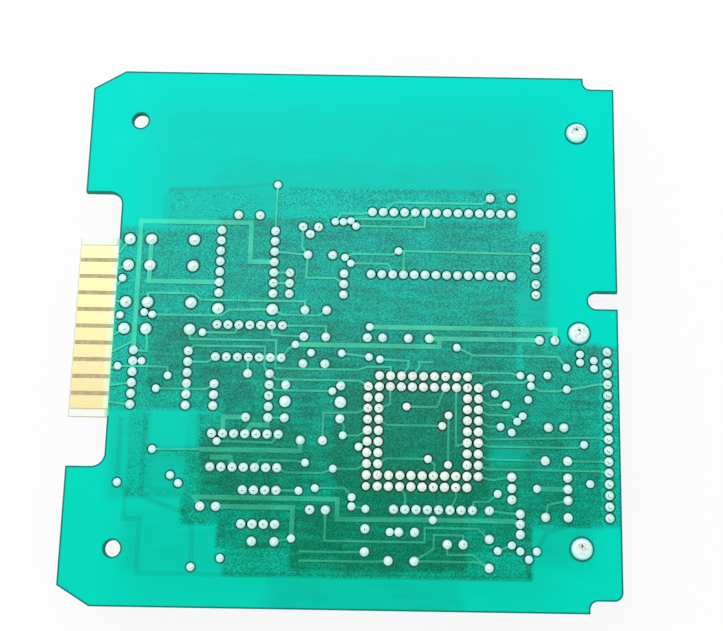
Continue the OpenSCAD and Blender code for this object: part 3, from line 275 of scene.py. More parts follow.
def masked_copper():
    """Copper under the mask, which it lights up from below."""
    paint = Paint("masked_copper", (0.05, 0.50, 0.30), 0.4, specular_ior_level=MASK_GLOSS)
    green, speckle = mask_color(paint)
    cloud = paint.spread(paint.noise(5 * MM, 2.0), 0.25, 0.75, 0.72, 1.2)
    high = paint.spread(paint.axis(1), at(0, 9)[1], at(0, -6)[1], 0.25, 0.46)
    paint.paint(paint.mix(paint.math("MULTIPLY", cloud, high), green, (0.12, 0.90, 0.54)))
    paint.bump(speckle, 0.02 * MM, 0.4)
    return paint.material


def painted_shade_mask(name, more):
    """Mask under painted shade deepened by `more`: the painted shadow of copper behind the laminate,
    or a painted drop shadow beside a track.
    """
    paint = Paint(name, SHADED_MASK, 0.45, specular_ior_level=MASK_GLOSS)
    green, speckle = mask_color(paint, more)
    paint.paint(green)
    paint.bump(speckle, 0.02 * MM, 0.4)
    return paint.material


def pad_shadow_rim():
    """A ring of painted shadow round each joint, in the gap between pad and mask: lighter where the
    mask is clear, and dark with old flux and painted shade where the joints stand close.
    """
    paint = Paint("pad_shadow_rim", (0.01, 0.08, 0.06), 0.6, specular_ior_level=0.1)
    cloud = paint.noise(1.6 * MM, 2.0)
    teal = paint.mix(cloud, (0.0006, 0.15, 0.12), (0.0006, 0.25, 0.20))
    green = paint.mix(cloud, (0.003, 0.085, 0.06), (0.008, 0.15, 0.105))
    green = paint.mix(paint.spread(paint.deepest(SHADES), 0.3, 0.6), teal, green)
    flux_and_shade = paint.mix(cloud, (0.03, 0.035, 0.022), (0.008, 0.075, 0.05))
    paint.paint(paint.mix(paint.round_processor(), green, flux_and_shade))
    return paint.material


def board_rim():
    """The dark line where the mask ends along the board's outline."""
    paint = Paint("board_rim", (0.001, 0.13, 0.10), 0.6, specular_ior_level=0.1)
    cloud = paint.noise(2.5 * MM, 3.0)
    paint.paint(paint.mix(cloud, (0.0006, 0.16, 0.13), (0.0006, 0.27, 0.22)))
    return paint.material


def gold_plate():
    """Worn gold plating, with fine scratches along the way it is plugged in."""
    paint = Paint("gold_plate", (0.88, 0.82, 0.45), 0.4, metallic=0.3)
    scratches = paint.noise(0.25 * MM, 4.0, 0.7, (0.06, 1, 1))
    cloud = paint.noise(5 * MM, 2.0)
    # the lower contacts are warmer than the upper ones
    warm = paint.spread(paint.axis(1), CONTACT_Y[1], CONTACT_Y[0], 0.0, 0.7)
    warm = paint.math("ADD", warm, paint.math("MULTIPLY", cloud, 0.3), True)
    base = paint.mix(warm, (0.72, 0.66, 0.31), (0.68, 0.56, 0.26))
    worn = paint.mix(paint.spread(scratches, 0.35, 0.75, 0.0, 0.5), base, (0.84, 0.79, 0.47))
    # the mask runs out thinly over the inner ends
    inner = paint.spread(paint.axis(0), TONGUE_ROOT - 1.7 * MM, TONGUE_ROOT - 0.2 * MM, 0.0, 0.9)
    paint.paint(paint.mix(inner, worn, (0.52, 0.90, 0.56)))
    paint.rough(paint.spread(scratches, 0.25, 0.8, 0.32, 0.52))
    paint.bump(scratches, 0.01 * MM, 0.4)
    return paint.material


def solder(name, dim=1.0, metallic=0.5):
    """Bright, slightly grainy solder with a few specks of flux, warmer round the processor."""
    paint = Paint(name, (0.66, 0.95, 0.90), 0.42, metallic)
    grain = paint.noise(0.35 * MM, 3.0, 0.6)
    flux = paint.noise(0.5 * MM, 2.0, 0.5)
    cool = paint.mix(paint.spread(grain, 0.3, 0.7), (0.62, 0.93, 0.88), (0.70, 0.99, 0.95))
    near = paint.math("MULTIPLY", paint.round_processor(), 0.8)
    bright = paint.mix(near, cool, (0.84, 0.98, 0.90))
    bright = paint.mix(1.0, bright, (dim * dim, dim, dim), "MULTIPLY")
    paint.paint(paint.mix(paint.spread(flux, 0.66, 0.76, 0.0, 0.5), bright, (0.42, 0.44, 0.38)))
    paint.rough(paint.spread(grain, 0.2, 0.8, 0.34, 0.55))
    paint.bump(grain, 0.02 * MM, 0.4)
    return paint.material


def scratched_solder():
    """Solder over a clipped shank, with dark crooked scratches."""
    paint = Paint("scratched_solder", (0.85, 0.86, 0.84), 0.5, metallic=0.4)
    marks = paint.noise(1.5 * MM, 3.0, 0.6, (1.6, 0.7, 1))
    near = paint.math("ABSOLUTE", paint.math("SUBTRACT", marks, 0.5))
    lines = paint.spread(near, 0.006, 0.03, 0.75, 0.0)
    pale = paint.mix(paint.noise(0.4 * MM), (0.62, 0.82, 0.77), (0.80, 0.93, 0.88))
    paint.paint(paint.mix(lines, pale, (0.24, 0.20, 0.18)))
    paint.bump(marks, 0.04 * MM, 0.5)
    return paint.material


def pit_shade():
    """Painted shade at the bottom of a hole that gas left in the solder."""
    paint = Paint("pit_shade", (0.06, 0.10, 0.08), 0.7)
    paint.paint(paint.mix(paint.noise(0.25 * MM), (0.02, 0.05, 0.04), (0.16, 0.22, 0.19)))
    return paint.material


def lead_wire():
    """Tinned wire, whose clipped ends above the board carry dark specks."""
    paint = Paint("tinned_lead", (0.70, 0.71, 0.70), 0.38, metallic=0.85)
    grain = paint.noise(0.3 * MM, 3.0, 0.6)
    wire = paint.mix(paint.spread(grain, 0.3, 0.75), (0.74, 0.75, 0.74), (0.52, 0.53, 0.53))
    above = paint.spread(paint.axis(2), TOP, TOP + 0.2 * MM)
    speck = paint.spread(paint.noise(0.55 * MM, 1.0), 0.56, 0.66)
    tip = paint.mix(speck, (0.74, 0.96, 0.91), (0.20, 0.17, 0.14))
    paint.paint(paint.mix(above, wire, tip))
    paint.rough(paint.spread(grain, 0.2, 0.8, 0.3, 0.5))
    paint.bump(grain, 0.01 * MM, 0.5)
    return paint.material


def dipped_pin():
    """A gold pin whose end in the joint is covered by solder."""
    paint = Paint("dipped_pin", (0.93, 0.80, 0.48), 0.32, metallic=0.7)
    grain = paint.noise(0.4 * MM, 4.0, 0.6)
    gold = paint.mix(paint.spread(grain, 0.3, 0.75), (0.93, 0.80, 0.48), (0.70, 0.58, 0.32))
    wetted = paint.mix(paint.spread(grain, 0.3, 0.7), (0.62, 0.93, 0.88), (0.72, 0.99, 0.95))
    above = paint.spread(paint.axis(2), BOTTOM - 0.6 * MM, BOTTOM)
    paint.paint(paint.mix(above, gold, wetted))
    paint.feed(paint.shader.inputs["Metallic"], paint.spread(above, 0.0, 1.0, 1.0, 0.5))
    paint.rough(paint.spread(grain, 0.2, 0.8, 0.28, 0.46))
    paint.bump(grain, 0.01 * MM, 0.5)
    return paint.material


def metal(name, color, size=0.6 * MM, roughness=0.35, stretch=(1, 1, 1), shade=0.72):
    """Drawn or plated metal whose dark grain is `shade` times as bright as the rest."""
    paint = Paint(name, color, roughness, metallic=1.0)
    grain = paint.noise(size, 4.0, 0.6, stretch)
    dark = tuple(shade * c for c in color)
    paint.paint(paint.mix(paint.spread(grain, 0.3, 0.75), color, dark))
    paint.rough(paint.spread(grain, 0.2, 0.8, roughness - 0.08, roughness + 0.14))
    paint.bump(grain, 0.01 * MM, 0.5)
    return paint.material


def plastic(name, color, roughness=0.5, grain_size=0.25 * MM, depth=0.02 * MM, coat=0.0):
    """Moulded plastic with a fine grain and a slightly uneven tone."""
    paint = Paint(name, color, roughness, coat_weight=coat, coat_roughness=0.15)
    grain = paint.noise(grain_size, 2.0)
    cloud = paint.noise(6 * MM, 3.0)
    lighter, lift, darker = 1.25, 0.008, 0.82
    light = tuple(min(1.0, lighter * c + lift) for c in color)
    dark = tuple(darker * c for c in color)
    paint.paint(paint.mix(paint.spread(cloud, 0.25, 0.75), dark, light))
    paint.rough(paint.spread(grain, 0.2, 0.8, roughness - 0.06, roughness + 0.08))
    paint.bump(grain, depth, 0.6)
    return paint.material


FACE = board_face()
EDGE = cut_edge()
RIM = pad_shadow_rim()
BOARD_RIM = board_rim()
COPPER = masked_copper()
# painted shadow of the component-side tracks, seen through the laminate
FAR_TRACK_SHADOW = painted_shade_mask("far_track_shadow", 0.16)
# painted drop shadow to the lower right of each solder-side track
TRACK_SHADOW = painted_shade_mask("track_shadow", 0.45)
GOLD = gold_plate()
SOLDER = solder("solder")
VIA_SOLDER = solder("via_fill", 0.90, 0.3)
SCRATCHED = scratched_solder()
# painted shade in the pit of each post's cap
PIT = pit_shade()
TIN = lead_wire()
NICKEL_BRASS = metal("plated_brass", (0.60, 0.56, 0.46), 0.5 * MM, 0.3, (1, 1, 0.15), 0.84)
BRASS = metal("screw_brass", (0.86, 0.70, 0.38), 0.4 * MM, 0.3)
DIPPED_PIN = dipped_pin()
STEEL_CAN = metal("steel_can", (0.72, 0.73, 0.74), 0.5 * MM, 0.32, (0.2, 1, 1))
EPOXY = plastic("moulded_epoxy", (0.035, 0.035, 0.038), 0.62, 0.18 * MM, 0.03 * MM)
BLACK = plastic("black_plastic", (0.028, 0.028, 0.03), 0.48)
BROWN = plastic("brown_plastic", (0.10, 0.055, 0.035), 0.5)
ORANGE = plastic("orange_plastic", (0.80, 0.30, 0.06), 0.38, 0.4 * MM, 0.01 * MM, 0.3)
SEAL = plastic("rubber_seal", (0.03, 0.03, 0.03), 0.75)
CERAMIC = plastic("dipped_ceramic", (0.62, 0.31, 0.09), 0.4, 0.8 * MM, 0.04 * MM, 0.4)
FILM_RED = plastic("dipped_film", (0.46, 0.05, 0.04), 0.3, 0.9 * MM, 0.03 * MM, 0.5)
NETWORK = plastic("network_coat", (0.10, 0.035, 0.03), 0.42, 0.5 * MM)
BLUE = plastic("blue_plastic", (0.03, 0.12, 0.42), 0.42)

NODE_MATERIALS = {
    "solder_side_tracks": COPPER, "component_side_tracks": COPPER,
    "solder_side_contacts": GOLD, "component_side_contacts": GOLD,
    "solder_joints": SOLDER, "via_solder": SOLDER, "post_solder": SOLDER,
    "upper_support_post": NICKEL_BRASS, "middle_support_post": NICKEL_BRASS,
    "lower_support_post": NICKEL_BRASS,
    "upper_relay_cover": ORANGE, "lower_relay_cover": ORANGE, "relay_bases": BLACK,
    "relay_leads": TIN, "cpu_socket": BROWN, "cpu_socket_contacts": TIN, "cpu_chip": EPOXY,
    "cpu_chip_leads": TIN, "memory_socket": BLACK, "memory_socket_contacts": DIPPED_PIN,
    "memory_chip": EPOXY, "memory_chip_leads": TIN, "upper_logic_chip": EPOXY,
    "lower_logic_chip": EPOXY, "timer_chip": EPOXY, "logic_leads": TIN,
    "resistor_bodies": CERAMIC, "resistor_leads": TIN, "diode_bodies": EPOXY,
    "diode_leads": TIN, "disc_capacitor_bodies": CERAMIC, "disc_capacitor_leads": TIN,
    "can_capacitor_bodies": BLUE, "can_capacitor_seals": SEAL, "can_capacitor_leads": TIN,
    "film_capacitor_bodies": FILM_RED, "film_capacitor_leads": TIN, "crystal_can": STEEL_CAN,
    "crystal_leads": TIN, "resistor_network": NETWORK, "resistor_network_leads": TIN,
    "trimmer_body": BLUE, "trimmer_screw": BRASS, "trimmer_leads": TIN,
    "transistor_bodies": EPOXY, "transistor_leads": TIN, "header_strip": BLACK,
    "header_pins": DIPPED_PIN, "jumper_strip": BLACK, "jumper_pins": DIPPED_PIN}


def dress(node, *materials):
    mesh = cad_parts[node].data
    mesh.materials.clear()
    for material in materials:
        mesh.materials.append(material)


def dress_laminate():
    """Green mask on both faces, and a cut edge all round."""
    dress("laminate", FACE, EDGE)
    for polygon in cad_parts["laminate"].data.polygons:
        polygon.material_index = 0 if abs(polygon.normal.z) > UPRIGHT else 1


for node, material in NODE_MATERIALS.items():
    dress(node, material)
dress_laminate()


# ---- Meshes -------------------------------------------------------------------------
def islands(node):
    """Lowest and highest corner of each separate solid in a CAD node."""
    work = bmesh.new()
    work.from_mesh(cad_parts[node].data)
    bmesh.ops.remove_doubles(work, verts=work.verts, dist=WELD)
    seen = set()
    corners = []
    for start in work.verts:
        if start.index in seen:
            continue
        seen.add(start.index)
        stack, found = [start], []
        while stack:
            vertex = stack.pop()
            found.append(vertex.co.copy())
            for edge in vertex.link_edges:
                other = edge.other_vert(vertex)
                if other.index not in seen:
                    seen.add(other.index)
                    stack.append(other)
        corners.append((Vector(map(min, *found)), Vector(map(max, *found))))
    work.free()
    return corners


def piece(name, vertices, faces, materials, smooth=None, indices=None):
    """A new mesh object, riding on the board; edges under `smooth` degrees are softened."""
    mesh = bpy.data.meshes.new(name)
    mesh.from_pydata(vertices, [], faces)
    mesh.validate()
    for material in materials:
        mesh.materials.append(material)
    if indices:
        mesh.polygons.foreach_set("material_index", indices)
    if smooth:
        mesh.polygons.foreach_set("use_smooth", [True] * len(mesh.polygons))
        mesh.set_sharp_from_angle(angle=math.radians(smooth))
    made = bpy.data.objects.new(name, mesh)
    bpy.context.scene.collection.objects.link(made)
    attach(made, "root")
    return made


class Heap:
    """Vertices and faces gathered for one mesh."""

    def __init__(self):
        self.vertices = []
        self.faces = []
        self.indices = []

    def add_face(self, corners, index=0):
        self.faces.append(corners)
        self.indices.append(index)

    def lathe(self, rings, segments, ends="joined", indices=None):
        """Joins rings of points, each a function of the turn, into one closed skin.

        The last ring is joined to the first, or both are closed by a flat face. `indices`
        gives the material of each band between two rings."""
        first = len(self.vertices)
        for ring in rings:
            self.vertices.extend(ring(math.tau * k / segments) for k in range(segments))
        count = len(rings) - (ends == "flat")
        for i in range(count):
            low = first + i * segments
            high = first + (i + 1) % len(rings) * segments
            for k in range(segments):
                after = (k + 1) % segments
                index = indices[i] if indices else 0
                self.add_face((low + k, low + after, high + after, high + k), index)
        if ends == "flat":
            last = first + count * segments
            self.add_face(tuple(first + k for k in reversed(range(segments))))
            self.add_face(tuple(last + k for k in range(segments)), index)

    def prism(self, points, z0, z1, index=0):
        """A flat shape, drawn anticlockwise, stood up from z0 to z1."""
        first = len(self.vertices)
        count = len(points)
        self.vertices.extend((x, y, z) for z in (z0, z1) for x, y in points)
        self.add_face(tuple(first + k for k in reversed(range(count))), index)
        self.add_face(tuple(first + count + k for k in range(count)), index)
        for k in range(count):
            after = (k + 1) % count
            self.add_face((first + k, first + after, first + count + after, first + count + k), index)

    def make(self, name, materials, slot, smooth=None):
        return piece(name, self.vertices, self.faces, materials, smooth, self.indices)


def round_ring(x, y, radius, z, wave=0.0, phase=0.0):
    """A level ring about an upright axis, uneven by a share of its radius."""
    def point(turn):
        r = radius * (1 + wave * (math.sin(2 * turn + phase) + 0.6 * math.sin(3 * turn - phase)))
        return x + r * math.cos(turn), y + r * math.sin(turn), z
    return point


def place_of(corners):
    """Middle and radius, seen from above, of the solid between two corners."""
    low, high = corners
    return (low.x + high.x) / 2, (low.y + high.y) / 2, (high.x - low.x) / 2


# ---- Solder joints ------------------------------------------------------------------
PAD_BELOW = 0.85  # radius of a pad on the component side, as a share of the one above
PAD_T = 0.03 * MM
THICK_PAD = 1.1 * MM  # radius from which a pad belongs to a thick lead
UNEVEN = 0.015  # how far solder strays from a circle, as a share of its radius
# how far out and how far up a fillet's slope passes
FILLET = ((1.0, 0.10), (0.94, 0.24), (0.80, 0.44), (0.62, 0.62), (0.44, 0.77), (0.26, 0.90),
          (0.10, 1.0))


def in_box(x, y, node):
    low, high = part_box(node)
    return low.x < x < high.x and low.y < y < high.y


def fillet(heap, corners, chance):
    """Solder through the hole, and up round the lead in an uneven slope."""
    thick_lead, thin_lead, gap, thin_spread = 0.45 * MM, 0.3 * MM, 0.15 * MM, 1.07
    x, y, radius = place_of(corners)
    thick = radius > THICK_PAD
    pin = in_box(x, y, "header_pins") or in_box(x, y, "jumper_pins")
    lead = thick_lead if thick or pin else thin_lead
    hole = lead + gap
    radius *= 1.0 if thick else thin_spread
    height = (corners[1].z - TOP) * chance.uniform(0.62, 0.84)
    phase = chance.uniform(0, math.tau)
    lean = chance.uniform(0, math.tau)
    tilt = chance.uniform(0.03, 0.14)

    def ring(r, z, wave=0.0):
        level = round_ring(x, y, r, 0, wave, phase)

        def point(turn):
            px, py, _ = level(turn)
            return px, py, TOP + z * (1 + tilt * math.cos(turn - lean) * (z > 0))
        return point

    deep = BOTTOM - TOP
    below = PAD_BELOW * radius
    rings = [ring(lead, deep - PAD_T), ring(below, deep - PAD_T), ring(below, deep), ring(hole, deep),
             ring(hole, -BURIED), ring(radius, -BURIED, UNEVEN)]
    rings += [ring(lead + out * (radius - lead), up * height, UNEVEN) for out, up in FILLET]
    rings.append(ring(lead, 1.02 * height))
    heap.lathe(rings, 18)


def via_dome(heap, corners, chance):
    """A via filled and closed by solder."""
    hole, spread, foot, steps = 0.4 * MM, 1.08, 0.12, 6
    x, y, radius = place_of(corners)
    radius *= spread
    height = (corners[1].z - TOP) * chance.uniform(0.6, 0.8)
    phase = chance.uniform(0, math.tau)
    rings = [round_ring(x, y, 1.6 * hole, BOTTOM - PAD_T), round_ring(x, y, 1.7 * hole, BOTTOM),
             round_ring(x, y, hole, BOTTOM), round_ring(x, y, hole, TOP - BURIED),
             round_ring(x, y, radius, TOP - BURIED, UNEVEN, phase)]
    for step in range(steps):
        angle = step / steps * math.pi / 2
        up = foot + (1 - foot) * math.sin(angle)
        out = radius * math.cos(angle)
        rings.append(round_ring(x, y, out, TOP + up * height, UNEVEN, phase))
    heap.lathe(rings, 18, "flat")


def post_cap(heap, corners, chance):
    """Solder over the riveted shank of a support post, with scratches round one pit."""
    x, y, radius = place_of(corners)
    radius *= CAP_SPREAD
    height = corners[1].z - TOP
    phase = chance.uniform(0, math.tau)
    # reach, height, unevenness and sideways shift of each ring
    shape = ((1.0, 0.0, 0.012, 0), (1.0, 0.25, 0.012, 0), (0.95, 0.5, 0.012, 0),
             (0.85, 0.72, 0.012, 0), (0.72, 0.86, 0.012, 0), (0.6, 0.93, 0.04, 0),
             (0.44, 0.90, 0.04, 0.08), (0.28, 0.88, 0.04, 0.18), (0.12, 0.86, 0.3, 0.26),
             (0.1, 0.6, 0.3, 0.26), (0.03, 0.5, 0.3, 0.26))
    rings = [round_ring(x, y, radius, TOP - BURIED)]
    for out, up, wave, shift in shape:
        place = y + shift * radius
        rings.append(round_ring(x, place, out * radius, TOP + up * height, wave, phase + 5 * out))
    smooth_bands, scratched_bands, pit_bands = [0] * 6, [1] * 3, [2] * 2
    heap.lathe(rings, 36, "flat", smooth_bands + scratched_bands + pit_bands)


def make_solder():
    """Uneven solder in place of the plain joints, vias and caps."""
    chance = random.Random(7)
    kinds = (("solder_joints", "solder_fillets", fillet, [SOLDER]),
             ("via_solder", "via_domes", via_dome, [VIA_SOLDER]),
             ("post_solder", "post_caps", post_cap, [SOLDER, SCRATCHED, PIT]))
    for node, name, shape, materials in kinds:
        heap = Heap()
        for corners in islands(node):
            shape(heap, corners, chance)
        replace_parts(heap.make(name, materials, "solder", 50), node)


# ---- Thin layers on the solder side -------------------------------------------------
def make_pad_shadow_rims():
    """The dark gap of the mask round each joint, drawn as a ring of painted shadow."""
    widths = {"solder_joints": 0.40 * MM, "via_solder": 0.44 * MM, "post_solder": 0.45 * MM}
    heap = Heap()
    for node, width in widths.items():
        for corners in islands(node):
            x, y, radius = place_of(corners)
            if node == "post_solder":
                radius *= CAP_SPREAD
            inner, outer = 0.9 * radius, radius + width
            low, high = TOP - BURIED, TOP + FILM
            heap.lathe([round_ring(x, y, inner, low), round_ring(x, y, outer, low),
                        round_ring(x, y, outer, high), round_ring(x, y, inner, high)], 24)
    heap.make("pad_shadow_rims", [RIM], "laminate")


def face_edges():
    """Directed edges of the laminate's upper face, with the board on their left."""
    work = bmesh.new()
    work.from_mesh(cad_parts["laminate"].data)
    bmesh.ops.remove_doubles(work, verts=work.verts, dist=WELD)
    after = {}
    for face in work.faces:
        if face.normal.z < UPRIGHT:
            continue
        for loop in face.loops:
            if any(other.normal.z < UPRIGHT for other in loop.edge.link_faces):
                start, end = loop.vert.co, loop.link_loop_next.vert.co
                after[start.to_tuple(7)] = (start.to_2d(), end.to_2d(), end.to_tuple(7))
    work.free()
    return after


def face_loops():
    """Each closed edge of the laminate's upper face, as points in order."""
    after = face_edges()
    loops = []
    while after:
        key = next(iter(after))
        loop = []
        while key in after:
            start, _, following = after.pop(key)
            loop.append(start)
            key = following
        loops.append(loop)
    return loops


def inner_point(loop, k, width):
    """The inner corner, beside point k, of a band of that width inside a loop."""
    sharpest = 0.3
    before = (loop[k] - loop[k - 1]).normalized()
    ahead = (loop[(k + 1) % len(loop)] - loop[k]).normalized()
    side = Vector((-before.y - ahead.y, before.x + ahead.x))
    side.normalize()
    across = max(sharpest, side.dot(Vector((-before.y, before.x))))
    return loop[k] + side * (width / across)


def make_board_rim():
    """A thin dark line where the mask ends, round the board and its two empty holes."""
    width = 0.38 * MM
    smallest = 3 * MM  # holes narrower than this get no line
    heap = Heap()
    for loop in face_loops():
        if max(p.x for p in loop) - min(p.x for p in loop) < smallest:
            continue
        inner = [inner_point(loop, k, width) for k in range(len(loop))]
        for k in range(len(loop)):
            after = (k + 1) % len(loop)
            corners = [loop[k], loop[after], inner[after], inner[k]]
            middle = (loop[k] + loop[after]) / 2
            on_tongue = abs(middle.y) < TONGUE_HALF and middle.x < TONGUE_ROOT
            if not on_tongue:
                heap.prism(corners, TOP - BURIED, TOP + FILM)
    heap.make("board_rims", [BOARD_RIM], "laminate")


def lay_copy(name, node, side, shift, top, material):
    """A thin copy of one face of a copper node, moved sideways and laid on the laminate."""
    work = bmesh.new()
    work.from_mesh(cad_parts[node].data)
    bmesh.ops.remove_doubles(work, verts=work.verts, dist=WELD)
    others = [face for face in work.faces if face.normal.z * side < UPRIGHT]
    bmesh.ops.delete(work, geom=others, context="FACES")
    for vertex in work.verts:
        vertex.co = Vector((vertex.co.x + shift[0], vertex.co.y + shift[1], top))
    grown = bmesh.ops.extrude_face_region(work, geom=list(work.faces))["geom"]
    for vertex in grown:
        if isinstance(vertex, bmesh.types.BMVert):
            vertex.co.z = TOP - BURIED
    bmesh.ops.recalc_face_normals(work, faces=work.faces)
    work.verts.index_update()
    heap = Heap()
    heap.vertices = [tuple(vertex.co) for vertex in work.verts]
    for face in work.faces:
        heap.add_face(tuple(vertex.index for vertex in face.verts))
    work.free()
    heap.make(name, [material], "laminate")


# ---- Details of the component side --------------------------------------------------
def lying_ring(x, y, z, radius):
    """A ring about an axis along x."""
    def point(turn):
        return x, y + radius * math.cos(turn), z + radius * math.sin(turn)
    return point


def lying_band(heap, x, width, y, z, radius, index):
    """A thin closed band painted round a lying body."""
    ends = (x - width / 2, x + width / 2)
    inner, outer = radius - BURIED, radius + FILM
    rings = [lying_ring(ends[0], y, z, inner), lying_ring(ends[0], y, z, outer),
             lying_ring(ends[1], y, z, outer), lying_ring(ends[1], y, z, inner)]
    heap.lathe(rings, 24, indices=[index] * 4)


def make_resistor_bands():
    """Colour rings: two on the narrow waist and one on each swollen end."""
    end_place, waist_place, waist_share, band_share = 0.373, -0.15, 0.85, 0.075
    chance = random.Random(21)
    names = ("black", "brown", "red", "orange", "yellow", "green", "violet", "grey", "gold")
    colors = ((0.012, 0.011, 0.010), (0.09, 0.030, 0.012), (0.42, 0.018, 0.014), (0.62, 0.17, 0.02),
              (0.68, 0.50, 0.04), (0.02, 0.20, 0.06), (0.14, 0.04, 0.24), (0.22, 0.22, 0.22),
              (0.46, 0.30, 0.08))
    inks = [plastic("band_" + name, color, 0.42, 0.2 * MM, 0.01 * MM)
            for name, color in zip(names, colors)]
    gold_ink = len(inks) - 1
    heap = Heap()
    for low, high in islands("resistor_bodies"):
        x, y, z = (low + high) / 2
        length = high.x - low.x
        end_radius = (high.z - low.z) / 2
        waist = waist_share * end_radius
        code = [chance.choice((1, 2, 3, 4, 7)), chance.choice((0, 2, 6, 7)), chance.choice((1, 2, 3))]
        places = ((-end_place, end_radius, code[0]), (waist_place, waist, code[1]),
                  (0.0, waist, code[2]), (end_place, end_radius, gold_ink))
        for share, radius, ink in places:
            lying_band(heap, x + share * length, band_share * length, y, z, radius, ink)
    heap.make("resistor_bands", inks, "resistor_coat", 50)


def make_diode_bands():
    """The silver ring at the cathode."""
    ring_place, ring_share = 0.24, 0.13
    ink = plastic("band_silver", (0.55, 0.55, 0.53), 0.35, 0.2 * MM, 0.01 * MM)
    heap = Heap()
    for low, high in islands("diode_bodies"):
        x, y, z = (low + high) / 2
        length = high.x - low.x
        radius = (high.z - low.z) / 2 - FILM
        lying_band(heap, x + ring_place * length, ring_share * length, y, z, radius, 0)
    heap.make("diode_bands", [ink], "diode_black", 50)


def make_can_details():
    """Bare aluminium top with its vent cross as painted groove shade, and the sleeve's pale stripe.
    """
    rim_share, groove_share, groove_half = 0.84, 0.62, 0.16 * MM
    stripe_start, stripe_step, stripe_points = 160, 8, 6
    stripe_low, stripe_high = 0.4 * MM, 8.6 * MM
    top_metal = metal("can_aluminium", (0.80, 0.81, 0.82), 0.4 * MM, 0.34)
    # painted shade of the scored vent cross
    vent = metal("vent_groove_shade", (0.30, 0.30, 0.31), 0.3 * MM, 0.45)
    stripe_ink = plastic("stripe_ink", (0.50, 0.56, 0.62), 0.42, 0.3 * MM, 0.01 * MM)
    tops, stripes = Heap(), Heap()
    for low, high in islands("can_capacitor_bodies"):
        x, y, _ = (low + high) / 2
        radius = (high.x - low.x) / 2
        rim = rim_share * radius
        disc = [round_ring(x, y, rim, low.z + BURIED), round_ring(x, y, rim, low.z - FILM)]
        tops.lathe(disc, 40, "flat")
        groove = groove_share * rim
        for long_x, long_y in ((groove, groove_half), (groove_half, groove)):
            corners = [(x - long_x, y - long_y), (x + long_x, y - long_y),
                       (x + long_x, y + long_y), (x - long_x, y + long_y)]
            tops.prism(corners, low.z - 2 * FILM, low.z + BURIED, 1)
        arc = [math.radians(stripe_start + stripe_step * k) for k in range(stripe_points)]
        outside, inside = radius + FILM, radius - BURIED
        outer = [(x + outside * math.cos(a), y + outside * math.sin(a)) for a in arc]
        inner = [(x + inside * math.cos(a), y + inside * math.sin(a)) for a in reversed(arc)]
        stripes.prism(outer + inner, low.z + stripe_low, low.z + stripe_high)
    tops.make("can_tops", [top_metal, vent], "can_sleeve")
    stripes.make("can_stripes", [stripe_ink], "can_sleeve", 50)


make_solder()
make_pad_shadow_rims()
make_board_rim()
# thin sheets of painted shadow: the component-side tracks seen through the laminate, and a drop
# shadow to the lower right of each solder-side track
IN_PLACE = (0, 0)
TO_LOWER_RIGHT = (0.12 * MM, -0.22 * MM)
lay_copy("far_side_shadows", "component_side_tracks", -1, IN_PLACE, TOP + FILM / 3, FAR_TRACK_SHADOW)
lay_copy("track_shadows", "solder_side_tracks", 1, TO_LOWER_RIGHT, TOP + 2 * FILM / 3, TRACK_SHADOW)
make_resistor_bands()
make_diode_bands()
make_can_details()


# ---- Table, light and camera --------------------------------------------------------
WHITE = (1.0, 1.0, 1.0, 1.0)


def seen_directly(tree):
    """1 for rays that the camera, a gloss or a glass sends, 0 for rays that carry light."""
    path = tree.nodes.new("ShaderNodeLightPath")
    total = path.outputs["Is Camera Ray"]
    for name in ("Is Glossy Ray", "Is Transmission Ray"):
        add = tree.nodes.new("ShaderNodeMath")
        add.operation = "MAXIMUM"
        tree.links.new(total, add.inputs[0])
        tree.links.new(path.outputs[name], add.inputs[1])
        total = add.outputs[0]
    return total


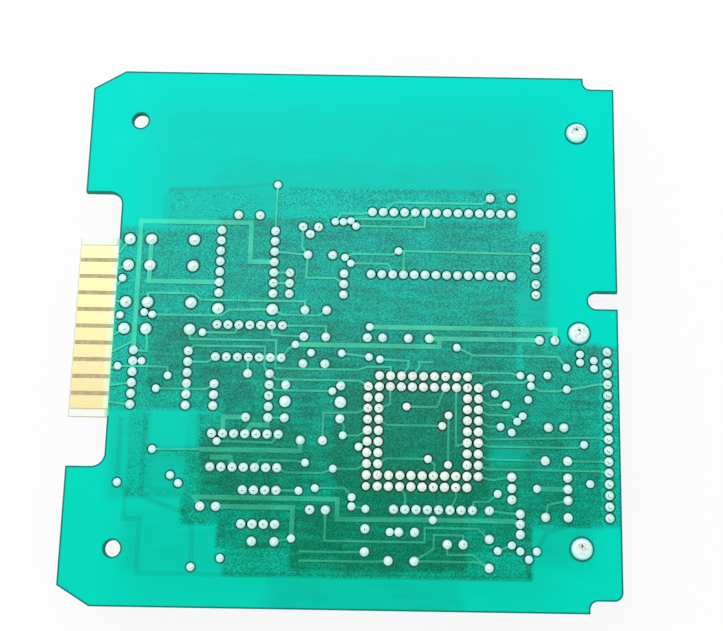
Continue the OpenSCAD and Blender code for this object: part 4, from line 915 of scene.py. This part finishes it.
def make_floor():
    """A white table that still takes a soft shadow."""
    keep_shadow = 0.12  # share of the shadow that the camera sees
    half = 1.2
    mesh = bpy.data.meshes.new("floor")
    mesh.from_pydata([(-half, -half, 0), (half, -half, 0), (half, half, 0), (-half, half, 0)], [],
                     [(0, 1, 2, 3)])
    made = bpy.data.objects.new("floor", mesh)
    bpy.context.scene.collection.objects.link(made)
    material = bpy.data.materials.new("white_table")
    material.use_nodes = True
    tree = material.node_tree
    tree.nodes.clear()
    output = tree.nodes.new("ShaderNodeOutputMaterial")
    diffuse = tree.nodes.new("ShaderNodeBsdfDiffuse")
    diffuse.inputs["Color"].default_value = (0.9, 0.9, 0.9, 1)
    glow = tree.nodes.new("ShaderNodeEmission")
    glow.inputs["Color"].default_value = WHITE
    share = tree.nodes.new("ShaderNodeMath")
    share.operation = "MULTIPLY"
    share.inputs[1].default_value = 1 - keep_shadow
    mix = tree.nodes.new("ShaderNodeMixShader")
    tree.links.new(seen_directly(tree), share.inputs[0])
    tree.links.new(share.outputs[0], mix.inputs[0])
    tree.links.new(diffuse.outputs[0], mix.inputs[1])
    tree.links.new(glow.outputs[0], mix.inputs[2])
    tree.links.new(mix.outputs[0], output.inputs["Surface"])
    mesh.materials.append(material)


def make_world():
    """White for the camera, and a little less light for the board."""
    light = 0.70
    world = bpy.data.worlds.new("studio")
    world.use_nodes = True
    tree = world.node_tree
    background = tree.nodes["Background"]
    background.inputs["Color"].default_value = WHITE
    level = tree.nodes.new("ShaderNodeMapRange")
    level.inputs["To Min"].default_value = light
    level.inputs["To Max"].default_value = 1.0
    tree.links.new(seen_directly(tree), level.inputs["Value"])
    tree.links.new(level.outputs[0], background.inputs["Strength"])
    bpy.context.scene.world = world


def make_lamp(name, place, size, watts):
    """A round soft light that points at the board's middle."""
    lamp = bpy.data.lights.new(name, "AREA")
    lamp.shape = "DISK"
    lamp.size = size
    lamp.energy = watts
    made = bpy.data.objects.new(name, lamp)
    made.location = place
    made.rotation_euler = (-Vector(place)).to_track_quat("-Z", "Y").to_euler()
    bpy.context.scene.collection.objects.link(made)


def make_camera():
    """Looks down on the solder side, a little from the near edge."""
    focal_px = 1227.0
    image_px = 723.0
    sensor = 36.0  # width, in millimetres
    # from the processor's first hole on the solder face, in metres
    offset = Vector((10.2, -47.4, 279.6)) * MM
    right = Vector((0.99987, 0.01589, 0.00351))
    up = Vector((-0.01626, 0.97638, 0.21557))
    data = bpy.data.cameras.new("camera")
    data.sensor_width = sensor
    data.lens = focal_px / image_px * sensor
    data.shift_x = -0.0723
    data.clip_start, data.clip_end = 0.01, 10.0
    made = bpy.data.objects.new("camera", data)
    back = right.cross(up)
    turn = Matrix((right, up, back)).transposed().to_4x4()
    made.matrix_world = Matrix.Translation(Vector((*at(0, 0), TOP)) + offset) @ turn
    bpy.context.scene.collection.objects.link(made)
    bpy.context.scene.camera = made


make_floor()
make_world()
make_lamp("key_light", place=(-0.35, 0.45, 0.9), size=0.6, watts=4.3)
make_camera()
bpy.context.scene.view_settings.view_transform = "Standard"
